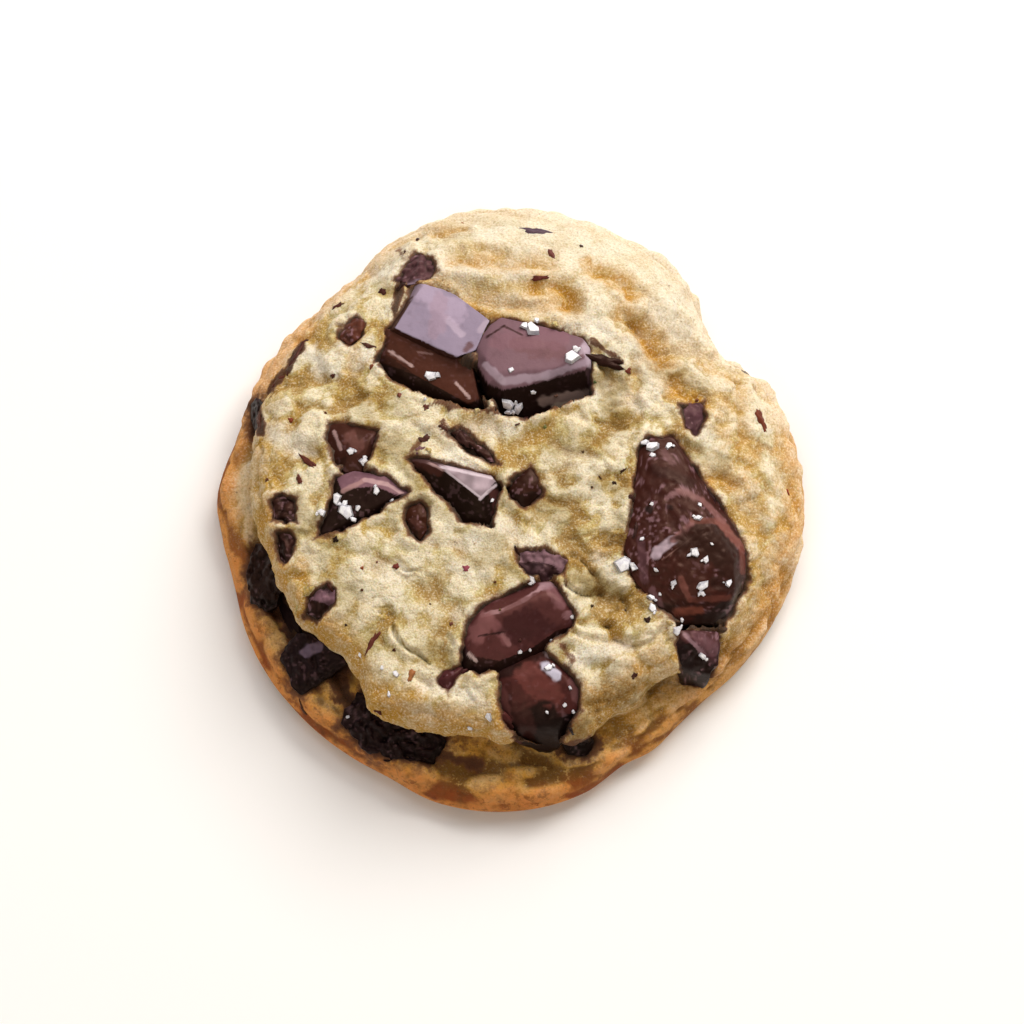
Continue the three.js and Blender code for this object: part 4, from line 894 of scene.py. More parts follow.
# %% Floury patches and painted highlights
# some strokes, along the lip's crest and on lit crests, are painted highlights as well as flour
FLOUR_AND_HIGHLIGHTS = [
    (268, 432, 300, 445, 1.6, .8), (312, 354, 335, 372, 1.4, .9), (345, 348, 378, 362, 1.4, .9),
    (448, 455, 470, 466, 1.3, .8), (290, 640, 300, 650, .5, .4), (330, 470, 342, 488, .8, .5),
    (425, 535, 470, 545, 1.8, .6), (505, 525, 530, 545, 1.4, .6), (365, 560, 400, 575, 1.8, .5),
    (560, 455, 600, 470, 1.6, .4), (340, 590, 400, 600, 1.6, .4), (560, 380, 640, 400, 1.6, .7),
    (350, 350, 372, 356, 1.3, .8), (335, 355, 356, 366, 1.2, .6), (470, 430, 520, 430, 1.3, .6),
    (400, 425, 440, 430, 1.2, .6), (434, 268, 520, 270, 1.3, .8), (492, 300, 545, 306, 1.2, .7),
    (560, 322, 600, 330, 1.4, .8), (375, 275, 400, 262, 1.2, .6), (575, 660, 628, 645, 1.1, .8),
    (450, 560, 480, 575, 1.6, .5), (590, 480, 600, 500, 1.2, .4), (600, 560, 620, 580, 1.2, .5),
    (385, 700, 430, 716, 1.1, .8), (430, 716, 480, 724, 1.1, .7), (425, 684, 480, 700, 1.3, .8),
    (455, 615, 500, 600, 1.2, .5), (430, 300, 440, 250, .8, .3), (700, 430, 760, 520, 1.6, .4),
    (640, 340, 660, 385, 1.8, .6), (640, 300, 690, 330, 2.0, .4), (575, 700, 640, 665, 1.0, .3)]
flour_and_highlight = strokes(FLOUR_AND_HIGHLIGHTS, 37)
print(len(FLOUR_AND_HIGHLIGHTS), "floury strokes")

# %% Shaded hollows and cracks
SHADED = [
    (455, 310, 522, 322, .8, .9), (380, 395, 400, 405, 1.6, .5), (505, 560, 520, 575, 1.4, .5),
    (530, 480, 548, 500, 1.6, .6), (393, 624, 405, 647, .35, 1.), (405, 647, 428, 662, .35, 1.),
    (374, 608, 393, 606, .3, .8), (398, 556, 414, 572, .3, .8), (566, 562, 575, 585, .5, .9),
    (575, 598, 600, 592, .4, .9), (618, 590, 625, 600, .5, 1.), (610, 612, 640, 600, .4, .7),
    (575, 375, 612, 385, 2.4, .9), (612, 390, 618, 425, 2.2, 1.), (500, 492, 560, 515, 2.4, .7),
    (600, 480, 630, 490, 1.6, .7), (575, 578, 615, 592, 2.0, 1.), (545, 600, 560, 650, 1.4, .6),
    (548, 690, 580, 722, 3.0, 1.), (590, 705, 630, 690, 2.0, .9), (430, 650, 455, 662, 2.0, .8),
    (375, 440, 410, 452, 2.2, .7), (405, 455, 420, 500, 1.6, .7), (555, 445, 600, 440, 2.0, .5),
    (660, 370, 700, 385, 1.6, .5), (690, 450, 720, 465, 1.6, .6), (295, 500, 320, 540, 2.0, .6),
    (325, 560, 350, 600, 2.0, .5), (520, 350, 505, 318, .8, .6), (500, 545, 480, 560, 1.6, .5),
    (540, 585, 552, 600, 1.0, .7), (600, 690, 640, 685, 1.6, .7), (370, 640, 400, 655, 1.2, .4),
    (560, 480, 580, 560, 1.4, .4), (620, 520, 632, 580, 1.6, .5), (350, 390, 372, 420, 1.8, .5),
    (430, 500, 470, 520, 1.4, .4)]
shaded = strokes(SHADED, 39)
print(len(SHADED), "shaded strokes")

# %% [markdown]
# ## Baked dough
# Butter dough with brown sugar: pale cream where it stayed soft, golden in the folds, and brown
# towards the tray. Its surface is matt, finely grained and full of pores a few tenths of a
# millimetre wide, and light enters it a little. The values of the mesh say where each colour lies,
# and noise on the object's own coordinates breaks them up. Among the colours are painted
# highlights on crests and on the far side, and painted shade in hollows, under the lip and on the
# near side.

# %% Shader helpers
MM = 1000.0


def noise(tree, spacing, detail=3.0, roughness=0.55):
    """Noise on the object's own coordinates, whose lumps are about `spacing` millimetres apart."""
    place = add_node(tree, "ShaderNodeTexCoord")
    return add_node(tree, "ShaderNodeTexNoise", {
        "Vector": place.outputs["Object"], "Scale": MM / spacing, "Detail": detail,
        "Roughness": roughness}).outputs["Fac"]


def step(tree, value, low, high, to_low=0.0, to_high=1.0):
    """Maps a value smoothly from one range to another, and holds it at the ends."""
    return add_node(tree, "ShaderNodeMapRange", {
        "Value": value, "From Min": low, "From Max": high, "To Min": to_low, "To Max": to_high},
        interpolation_type="SMOOTHSTEP").outputs[0]


def blend_colour(tree, share, a, b, mode="MIX"):
    """Mixes two colours, each a socket or an sRGB hex value."""
    a, b = (linear(c) if isinstance(c, str) else c for c in (a, b))
    mix = add_node(tree, "ShaderNodeMix", {6: a, 7: b, 0: share}, data_type="RGBA", blend_type=mode)
    return mix.outputs[2]


def multiply(tree, a, b):
    """Product of two values."""
    return add_node(tree, "ShaderNodeMath", {0: a, 1: b}, operation="MULTIPLY").outputs[0]


def value_of(tree, name):
    """A value that the mesh carries at each point."""
    return add_node(tree, "ShaderNodeAttribute", attribute_name=name).outputs["Fac"]


print("a noise of 4.5 mm has a scale of", round(MM / 4.5))

# %% Soft dough
# cream and straw in patches, paler crests, darker hollows, flour and highlights, gold, peach, fine grains and
# painted shade
baked_dough, tree, out = new_material("baked_butter_dough")
hollows = value_of(tree, "hollow")
grains = noise(tree, 0.32, 2, 0.6)
colour = blend_colour(tree, step(tree, noise(tree, 4.5, 4), 0.36, 0.64), "#c4b582", "#b7994f")
colour = blend_colour(tree, step(tree, noise(tree, 8.5, 3), 0.46, 0.68, 0, 0.8), colour, "#cabd9e")
# painted highlight on the crests, and painted shade with some browning in the hollows
colour = blend_colour(tree, step(tree, hollows, 0.0, -0.8, 0, 0.75), colour, "#e6ddc4")
colour = blend_colour(tree, step(tree, hollows, 0.1, 1.0, 0, 0.8), colour, "#a07c3a")
# painted light: the far side, towards the window, paler
colour = blend_colour(tree, multiply(tree, value_of(tree, "painted_window_light"), 0.6), colour, "#ddd4c2")
# flour, and painted highlights on lit crests
colour = blend_colour(tree, value_of(tree, "flour_and_highlight"), colour, "#e0d9c8")
gold = multiply(tree, value_of(tree, "golden"), step(tree, noise(tree, 2.0, 3), 0.3, 0.6, 0.5, 0.95))
colour = blend_colour(tree, gold, colour, "#bb8a2e")
colour = blend_colour(tree, multiply(tree, value_of(tree, "peach"), 0.85), colour, "#d99a54")
colour = blend_colour(tree, step(tree, grains, 0.50, 0.66, 0, 0.42), colour, "#c2a968", "MULTIPLY")
colour = blend_colour(tree, step(tree, grains, 0.48, 0.34, 0, 0.38), colour, "#f0e9d4")
colour = blend_colour(tree, value_of(tree, "shaded"), colour, "#bdb294", "MULTIPLY")
print("soft dough:", len(tree.nodes), "nodes")

# %% Browned crust and painted shade
# golden brown with dark and light spots and hollows painted darker as shade, rusty on the tray's
# edge, and nearly black on the near edge, as burnt and as painted shade
brown = step(tree, noise(tree, 2.6, 4, 0.6), 0.3, 0.7, 0.75, 1.0)
baked = blend_colour(tree, step(tree, hollows, -0.7, 0.8), "#cf9a40", "#6e4812")
baked = blend_colour(tree, step(tree, grains, 0.5, 0.7, 0, 0.5), baked, "#7a5a26")
baked = blend_colour(tree, step(tree, noise(tree, 1.1, 4, 0.65), 0.52, 0.68, 0, 0.7), baked, "#6a4018")
baked = blend_colour(tree, step(tree, noise(tree, 0.8, 4, 0.65), 0.56, 0.70, 0, 0.6), baked, "#e2b86c")
colour = blend_colour(tree, multiply(tree, value_of(tree, "crust_and_shade"), brown), colour, baked)
rusty = blend_colour(tree, step(tree, hollows, -0.6, 0.8), "#d98a44", "#964a1c")
rusty = blend_colour(tree, step(tree, noise(tree, 1.4, 4, 0.7), 0.52, 0.64, 0, 0.8), rusty, "#86401a")
colour = blend_colour(tree, multiply(tree, value_of(tree, "tray"), brown), colour, rusty)
# painted shade as well as burn: nearly black on the near edge
char_and_shade = step(tree, multiply(tree, value_of(tree, "burnt_and_shade"), noise(tree, 1.6, 4, 0.65)), 0.22, 0.52, 0, 0.85)
colour = blend_colour(tree, char_and_shade, colour, "#55300f")
print("with its crust:", len(tree.nodes), "nodes")

# %% Chocolate stains, painted shade under the lip, and pores
# the stain's edge is torn by noise of 0.9 mm; pores and specks of brown sugar are 1.6 mm apart
torn_stain_and_shade = add_node(tree, "ShaderNodeMath", {0: noise(tree, 0.9, 4), 1: 0.9, 2: value_of(tree, "stain_and_shade")},
                      operation="MULTIPLY_ADD").outputs[0]
# the darkest stain, under the lip, is painted shade as well as melted chocolate
melted = blend_colour(tree, value_of(tree, "stain_and_shade"), "#8f5c3c", "#2c140d")
colour = blend_colour(tree, step(tree, torn_stain_and_shade, 0.66, 1.12, 0, 0.95), colour, melted)
place = add_node(tree, "ShaderNodeTexCoord")
pores = add_node(tree, "ShaderNodeTexVoronoi", {"Vector": place.outputs["Object"], "Scale": MM / 1.6},
                 feature="F1")
speck = step(tree, pores.outputs["Distance"], 0.14, 0.05)
thin = step(tree, noise(tree, 5.0, 2), 0.48, 0.58)
colour = blend_colour(tree, multiply(tree, multiply(tree, speck, thin), 0.6), colour, "#6d4c28")
print("with stains and pores:", len(tree.nodes), "nodes")

# %% Surface of the dough
# a crumb bump of 1.3 mm with the grains on it, matt, and light that goes about a millimetre in
lumps = noise(tree, 1.3, 4, 0.6)
height = add_node(tree, "ShaderNodeMath", {0: multiply(tree, grains, 0.8), 1: lumps}, operation="ADD")
bump = add_node(tree, "ShaderNodeBump", {"Strength": 0.7, "Distance": 0.00035, "Height": height.outputs[0]})
body = add_node(tree, "ShaderNodeBsdfPrincipled", {
    "Base Color": colour, "Roughness": 0.8, "IOR": 1.45, "Specular IOR Level": 0.3, "Normal": bump.outputs[0],
    "Subsurface Weight": 0.32, "Subsurface Radius": (1.0, 0.6, 0.3), "Subsurface Scale": 0.0012})
tree.links.new(body.outputs[0], out.inputs[0])
print("baked dough:", len(tree.nodes), "nodes")

# %% [markdown]
# ## The first piece
# A piece is one mesh object at the origin, with its place in its points. Whole arrays go into the
# mesh at once, and so do the values that its material reads. The dough replaces the solid
# model's dough, and rides on its only body.

# %% Making a piece
def make_piece(name, points, faces, material, smooth=True, values=()):
    """A mesh object from points in millimetres, a list of face arrays, and named values per point."""
    mesh = bpy.data.meshes.new(name)
    loops = np.concatenate([np.asarray(f).ravel() for f in faces])
    sizes = np.concatenate([np.full(len(f), f.shape[1]) for f in map(np.asarray, faces)])
    mesh.vertices.add(len(points))
    mesh.vertices.foreach_set("co", (np.asarray(points) / 1000).astype(np.float32).ravel())
    mesh.loops.add(len(loops))
    mesh.loops.foreach_set("vertex_index", loops.astype(np.int32))
    mesh.polygons.add(len(sizes))
    mesh.polygons.foreach_set("loop_start", (np.cumsum(sizes) - sizes).astype(np.int32))
    mesh.polygons.foreach_set("use_smooth", np.full(len(sizes), smooth))
    mesh.update(calc_edges=True)
    mesh.validate()
    for key, value in dict(values).items():
        value = np.asarray(value, np.float32)
        kind = "FLOAT" if value.ndim == 1 else "FLOAT_COLOR"
        attribute = mesh.attributes.new(key, kind, "POINT")
        attribute.data.foreach_set("value" if kind == "FLOAT" else "color", value.ravel())
    mesh.materials.append(material)
    piece = bpy.data.objects.new(name, mesh)
    bpy.context.scene.collection.objects.link(piece)
    print(name, len(points), "points", int((sizes - 2).sum()), "triangles")
    return piece


dough = make_piece("dough_skin", skin, [grid, sides, fan], baked_dough, values={
    "golden": golden, "hollow": hollow, "crust_and_shade": crust_and_shade, "stain_and_shade": stain_and_shade, "painted_window_light": painted_window_light,
    "tray": tray, "burnt_and_shade": burnt_and_shade, "flour_and_highlight": flour_and_highlight, "shaded": shaded, "peach": peach})
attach(dough, "root")

# %% [markdown]
# ## Dark chocolate
# Tempered chocolate that melted a little and set again. Broken faces are brown and half glossy,
# old outer faces turned up towards the window carry a pale lilac tone, part bloom and part painted
# reflection of the window, and steep faces are painted nearly black as shade. The mesh carries
# each face's tone, and noise adds scuffs, a fine bump and an uneven gloss.

# %% Chocolate material
dark_chocolate, tree, out = new_material("dark_chocolate")
tone = add_node(tree, "ShaderNodeAttribute", attribute_name="tone").outputs["Color"]
tone = blend_colour(tree, step(tree, noise(tree, 2.2, 4), 0.5, 0.75, 0, 0.22), tone, "#1c0d09")
tone = blend_colour(tree, step(tree, noise(tree, 0.7, 4, 0.7), 0.62, 0.8, 0, 0.10), tone, "#8b6a6c")
gloss = step(tree, noise(tree, 1.5, 3), 0.3, 0.7, 0.30, 0.50)
fine = noise(tree, 0.6, 4, 0.6)
bump = add_node(tree, "ShaderNodeBump", {"Strength": 0.35, "Distance": 0.00012, "Height": fine})
body = add_node(tree, "ShaderNodeBsdfPrincipled", {
    "Base Color": tone, "Roughness": gloss, "IOR": 1.5, "Specular IOR Level": 0.17,
    "Specular Tint": linear("#f0c8b4"), "Normal": bump.outputs[0]})
tree.links.new(body.outputs[0], out.inputs[0])
print("dark chocolate:", len(tree.nodes), "nodes")

# %% [markdown]
# ## Touches on the chocolate
# Each chunk's faces differ: chipped edges catch the light as painted highlights, a ridge throws a
# painted shadow, and bloom with painted sheen lies in patches. These are painted as short lines
# of another tone, between two places seen in the picture. They go by a half width in
# millimetres, a colour and a strength.

# %% Touches
TOUCHES = [
    (543, 401, 592, 394, .8, "#8c7872", .75), (556, 407, 575, 404, .6, "#a8988a", .8),
    (540, 316, 566, 326, .8, "#9c8688", .7), (448, 320, 462, 334, .5, "#c0aec0", .5),
    (520, 345, 560, 352, 1.4, "#6a4648", .5), (575, 352, 588, 348, .5, "#b6a4b2", .6),
    (389, 351, 412, 366, .22, "#bda09c", .9), (456, 383, 470, 398, .22, "#bda09c", .9),
    (418, 352, 432, 354, .15, "#8a6a66", .8), (466, 350, 470, 345, .5, "#5c3a38", .8),
    (418, 290, 456, 312, 1.6, "#b4a2b8", .5), (440, 300, 436, 330, 1.2, "#9c8494", .5),
    (486, 366, 503, 381, .6, "#ad99a6", .7), (503, 381, 545, 376, .7, "#ad99a6", .75),
    (545, 376, 588, 361, .6, "#a592a0", .7), (586, 344, 591, 364, .6, "#b09eac", .7),
    (500, 340, 560, 338, 1.6, "#7c5862", .6), (487, 337, 504, 326, .16, "#2a1614", .9),
    (504, 326, 522, 335, .16, "#2a1614", .8), (480, 330, 488, 322, .5, "#b3a2b2", .6),
    (656, 554, 674, 540, .75, "#a8959f", .95), (674, 540, 692, 523, .55, "#7f5654", .9),
    (662, 560, 694, 536, .10, "#7d5c54", .7), (690, 545, 722, 548, 2.6, "#2e1b16", .9),
    (705, 530, 735, 575, 2.0, "#2e1b16", .8), (690, 560, 700, 590, 2.0, "#3c211b", .7),
    (716, 583, 736, 590, 1.0, "#2a1713", .8), (692, 520, 719, 521, .45, "#6b4038", .85),
    (719, 521, 742, 548, .55, "#7d4c44", .85), (742, 548, 743, 572, .40, "#66342c", .8),
    (667, 498, 679, 490, .40, "#8a6668", .7), (679, 490, 702, 500, .50, "#87605f", .7),
    (702, 500, 723, 521, .45, "#7f5552", .7), (649, 509, 650, 510, .60, "#120a08", .95),
    (669, 507, 671, 508, .40, "#1c100e", .8), (655, 470, 690, 482, .9, "#2c1512", .8),
    (664, 452, 672, 462, .5, "#6d4c4e", .6), (681, 580, 690, 600, .5, "#6e423a", .7),
    (690, 600, 730, 598, .45, "#5e342c", .7), (660, 606, 720, 618, .7, "#1c0e0b", .8),
    (676, 612, 700, 610, .60, "#6b3a2e", .85), (640, 540, 645, 580, .6, "#5e4046", .6),
    (652, 590, 660, 604, .5, "#6b4c50", .6), (684, 634, 705, 655, .35, "#94747c", .8),
    (680, 645, 690, 672, 1.0, "#1a1011", .85), (698, 637, 712, 650, 1.1, "#6b4a50", .6),
    (705, 655, 712, 660, .6, "#54353a", .6), (483, 615, 503, 610, .35, "#9c7678", .8),
    (503, 610, 523, 601, .32, "#9c7678", .85), (523, 601, 543, 587, .32, "#a88488", .85),
    (543, 587, 556, 584, .60, "#9c7c82", .8), (478, 632, 486, 622, 1.6, "#7a4e4e", .8),
    (496, 625, 506, 640, .9, "#75494a", .8), (508, 612, 545, 596, 1.0, "#5e3836", .7),
    (515, 630, 545, 618, 2.6, "#34191a", .8), (553, 592, 560, 604, .9, "#7c5458", .7),
    (565, 616, 572, 612, .5, "#8a6468", .7), (500, 690, 508, 720, .8, "#5c3634", .8),
    (572, 680, 578, 700, .7, "#6a4646", .7), (505, 735, 515, 742, .8, "#5a3638", .7),
    (479, 636, 504, 632, .13, "#1f0f0f", .9), (503, 636, 509, 644, .45, "#8d6262", .6),
    (469, 654, 476, 661, .22, "#c0a8a4", .9), (458, 655, 470, 671, .80, "#180d0c", .9),
    (470, 671, 495, 674, .80, "#180d0c", .9), (495, 674, 521, 667, .90, "#1e100f", .85),
    (521, 667, 549, 646, .80, "#26130f", .8), (540, 600, 556, 616, 1.3, "#56312f", .5),
    (545, 667, 556, 676, .75, "#bab6c6", .95), (547, 653, 549, 656, .45, "#b09a9a", .8),
    (530, 676, 548, 696, 2.2, "#6d3a35", .6), (540, 718, 552, 742, 2.6, "#150c0b", .95),
    (520, 712, 528, 730, 1.4, "#3a1e1c", .7), (334, 432, 341, 449, .28, "#a48684", .85),
    (351, 438, 356, 444, 1.1, "#6b443e", .6), (343, 491, 365, 480, .40, "#a07c7a", .8),
    (365, 480, 387, 484, .35, "#b08f90", .85), (387, 484, 405, 495, .30, "#b08f90", .8),
    (345, 500, 385, 500, .7, "#1d100e", .8), (412, 456, 438, 470, 1.0, "#42241f", .95),
    (430, 463, 442, 470, .20, "#a88a88", .8), (441, 467, 492, 478, .20, "#c9bac2", .9),
    (496, 485, 480, 499, .22, "#c9bac2", .9), (480, 497, 446, 471, .16, "#cbbcc4", .7),
    (495, 495, 500, 515, .9, "#4c2c2a", .8), (305, 652, 318, 646, .8, "#6c5c6e", .9),
    (286, 640, 300, 634, .6, "#2c2024", .6), (268, 575, 262, 590, .8, "#2e2220", .6),
    (414, 520, 418, 526, .5, "#50302a", .6)]
print(len(TOUCHES), "touches")

# %% [markdown]
# ## The chunks
# A chunk is made like a cloth laid over its planes: rings of points run from its middle to its
# outline, each lifted to the top's height and pitted by crumbly noise, then walls go down into
# the dough and a foot closes it. Its tone comes from how far each face turns up towards the
# window: a painted sheen where it would reflect the window, painted shade on steep faces.

# %% Top of a chunk
def chunk_top(chunk, seed, spacing):
    """Points on rings from the middle to the wandering outline, their pitting, and the counts."""
    reach = np.hypot(*(chunk.corners[:, :2] - chunk.middle).T).max()
    around_count = int(np.clip(2 * math.pi * reach / spacing / 1.4, 40, 190))
    rings = int(np.clip(reach / spacing, 8, 48))
    turn = np.arange(around_count) / around_count * 2 * math.pi
    u = np.column_stack([np.cos(turn), np.sin(turn)])
    facing = u @ chunk.lines[:, :2].T
    room = chunk.lines[:, 2] - chunk.lines[:, :2] @ chunk.middle
    edge = np.where(facing > 1e-6, room / np.maximum(facing, 1e-6), 1e9).min(axis=1) + chunk.grow
    t = (np.arange(1, rings + 1) / rings) ** 0.85
    xy = chunk.middle + (t[:, None] * edge)[..., None] * u
    flat = np.column_stack([xy.reshape(-1, 2), np.full(rings * around_count, float(seed))])
    edge_noise = (cloud(flat, 1.3, 41) * 0.22 + cloud(flat, 0.6, 42) * 0.1).reshape(rings, -1)
    xy = xy + (edge_noise * (t[:, None] ** 6) * (0.6 + 2 * chunk.pits))[..., None] * u
    xy = np.vstack([chunk.middle[None], xy.reshape(-1, 2)])
    z = top_height(chunk.planes, xy, chunk.sharp)
    flat = np.column_stack([xy, z])
    melted = crumbs(flat, 1.15, 43 + seed) - 0.45
    pitting = chunk.pits * (1.1 * melted + 0.7 * cloud(flat, 0.8, 44 + seed))
    z = z - pitting - 0.10 * cloud(flat, 3.0, 45 + seed)
    return flat, np.column_stack([xy, z]), melted, around_count, rings


flat, top, melted, around_count, rings = chunk_top(chunks[0], 0, 0.22)
print(chunks[0].name, "has", rings, "rings of", around_count, "points")

# %% Tones of a chunk
def chunk_tones(chunk, flat, top, melted):
    """Linear colours of the top's points: painted sheen towards the window, painted shade on steep faces,
    then pits painted darker as shade, scuffs and touches.
    """
    slopes = (top[:, :2] @ chunk.planes[:, :2].T + chunk.planes[:, 2]).argmin(axis=-1)
    plane = chunk.planes[slopes]
    normal = np.column_stack([-plane[:, 0], -plane[:, 1], np.ones(len(plane))])
    normal = normal / np.linalg.norm(normal, axis=1)[:, None]
    # how far a face turns up towards the window: the light tone there is painted sheen, the dark tone painted
    # shade
    level = normal @ np.array([0.15, 0.45, 0.88]) + 0.05 * cloud(flat, 1.2, 46)
    lit = ramp(level, chunk.level, chunk.level + 0.3)
    tones = np.array([linear(chunk.dark), linear(chunk.light)])
    tone = tones[0] + lit[:, None] * (tones[1] - tones[0])
    # pits painted darker, as shade
    tone = tone * (1 - 0.9 * chunk.pits * ramp(melted, 0.0, 0.4))[:, None]
    most = min(3 * chunk.pits, 0.2 if chunk.tucked else 0.7)
    scuffs = ramp(cloud(flat, 0.4, 48) + 0.6 * cloud(flat, 1.6, 49), 0.45, 1.0) * most
    tone = tone + scuffs[:, None] * (np.array(linear("#96727a")) - tone)
    pixels = in_picture(top)
    ragged = 0.35 * cloud(flat, 0.7, 47)
    for x0, y0, x1, y1, half, colour, strength in TOUCHES:
        d = PIXEL_MM * segment_distance(pixels, x0, y0, x1, y1) + half * ragged
        w = strength * (1 - ramp(d, 0.72 * half, 1.25 * half))
        tone = tone + w[:, None] * (np.array(linear(colour)) - tone)
    return tone


print("its mean tone:", chunk_tones(chunks[0], flat, top, melted).mean(axis=0).round(3))

# %% A whole chunk
# drop below the rim in millimetres, and share of the rim's distance from the middle
WALL = ((0.25, 0.995), (0.8, 0.985), (1.8, 0.96), (3.0, 0.9))
# no wall goes lower than this above the tray, in millimetres
DEEPEST = 2.0


def shell_faces(around_count, ring_count):
    """Fan from point 0 to the first ring, squares between rings, and a fan from the last point."""
    index = 1 + np.arange(ring_count * around_count).reshape(ring_count, around_count)
    on = np.roll(index, -1, axis=1)
    cap = np.column_stack([np.zeros(around_count, int), index[0], on[0]])
    sides = np.stack([index[:-1], index[1:], on[1:], on[:-1]], axis=-1).reshape(-1, 4)
    bottom = np.column_stack([np.full(around_count, 1 + index.size), on[-1], index[-1]])
    return [cap, sides, bottom]


def chunk_mesh(chunk, seed, spacing=0.22):
    """A chunk's points, faces and tones: its top, walls that draw in as they go down, and a foot."""
    flat, top, melted, around_count, rings = chunk_top(chunk, seed, spacing)
    tone = chunk_tones(chunk, flat, top, melted)
    rim = top[-around_count:]
    walls = []
    for drop, share in WALL:
        inward = chunk.middle + (rim[:, :2] - chunk.middle) * share
        walls.append(np.column_stack([inward, np.maximum(rim[:, 2] - drop, DEEPEST)]))
    foot = np.append(chunk.middle, walls[-1][:, 2].min())
    points = np.vstack([top, *walls, foot])
    # the walls and foot take the dark tone, painted shade
    below = np.tile(np.array(linear(chunk.dark)), (len(points) - len(top), 1))
    return points, shell_faces(around_count, rings + len(WALL)), np.vstack([tone, below])


solids = []
for number, chunk in enumerate(chunks):
    points, faces, tone = chunk_mesh(chunk, number)
    piece = make_piece(chunk.name + "_piece", points, faces, dark_chocolate, values={"tone": tone})
    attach(piece, "root")
    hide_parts(chunk.name)
    solids.append((points, faces))

# %% [markdown]
# ## Finding the surface
# Small things lie on what carries them. A tree of all the triangles made so far answers where the
# camera's ray through a pixel first meets the dough or a chunk, and how the surface faces there.

# %% Rays onto the cookie
def surface_tree(parts):
    """One search tree over the points and faces of several parts."""
    points, polygons, first = [], [], 0
    for part_points, part_faces in parts:
        points.append(part_points)
        for faces in part_faces:
            polygons.extend((np.asarray(faces) + first).tolist())
        first += len(part_points)
    return BVHTree.FromPolygons(np.vstack(points).tolist(), polygons)


surface = surface_tree([(skin, [grid, sides])] + solids)


def seen_at(px, py):
    """Where the ray through a pixel first meets the cookie, and the normal there."""
    eye, ray = through(px, py)
    place, normal, _, _ = surface.ray_cast(Vector(eye), Vector(ray))
    return np.array(place), np.array(normal)


print("the picture's middle is at", seen_at(512, 512)[0].round(2), "mm")

# %% [markdown]
# ## Small chips and specks
# Splinters of chocolate lie pressed into the dough, nearly level with it. A chip is a small pitted
# slab between two places in the picture, an oval squared off like a broken shaving, and a speck is
# a small round one. They all go into one piece.

# %% Shape of a chip
AROUND = 28
# share of the half width, and height over the dough for one `proud`, of the rings above and below it
ABOVE = np.array([(0.25, 0.20), (0.5, 0.18), (0.72, 0.14), (0.88, 0.06)])
BELOW = np.array([(1.0, -0.12), (1.05, -0.6)])
FOOT = 0.8


def chip_mesh(start, end, width, normal, seed, proud=1.0):
    """A low slab between two points: a squared oval whose edge wanders, 0.2 mm times `proud` high."""
    along = end - start
    length = max(np.linalg.norm(along), 0.3)
    along = along / np.linalg.norm(along)
    across = np.cross(normal, along)
    across = across / np.linalg.norm(across)
    up = np.cross(along, across)
    middle = (start + end) / 2
    turn = np.arange(AROUND) / AROUND * 2 * math.pi
    rings = np.append(ABOVE[:, 0], BELOW[:, 0])[:, None]
    wander = (1 + 0.16 * np.sin(3 * turn + seed) + 0.14 * np.sin(5 * turn + 2.1 * seed)
              + 0.10 * np.sin(9 * turn + seed))
    square = (np.abs(np.cos(turn)) ** 3 + np.abs(np.sin(turn)) ** 3) ** (-1 / 3)
    x = rings * wander * square * np.cos(turn) * length / 2
    y = rings * wander * square * np.sin(turn) * width / 2
    h = np.append(ABOVE[:, 1] * proud, BELOW[:, 1])[:, None] * np.ones_like(turn)
    place = middle + x[..., None] * along + y[..., None] * across + h[..., None] * up
    rough = cloud(place, 0.5, 51) * 0.16 + cloud(place, 0.25, 52) * 0.05
    place = place + (rough * (rings < 1.02))[..., None] * up
    points = np.vstack([middle + ABOVE[0, 1] * proud * up, place.reshape(-1, 3), middle - FOOT * up])
    return points, shell_faces(AROUND, len(rings))


def gather(parts):
    """Joins several (points, faces, tone) into one."""
    first, points, faces, tones = 0, [], [], []
    for part_points, part_faces, tone in parts:
        points.append(part_points)
        faces.extend([np.asarray(f) + first for f in part_faces])
        tones.append(np.tile(np.array(tone), (len(part_points), 1)))
        first += len(part_points)
    return np.vstack(points), faces, np.vstack(tones)


print("a chip has", 2 + AROUND * (len(ABOVE) + len(BELOW)), "points")

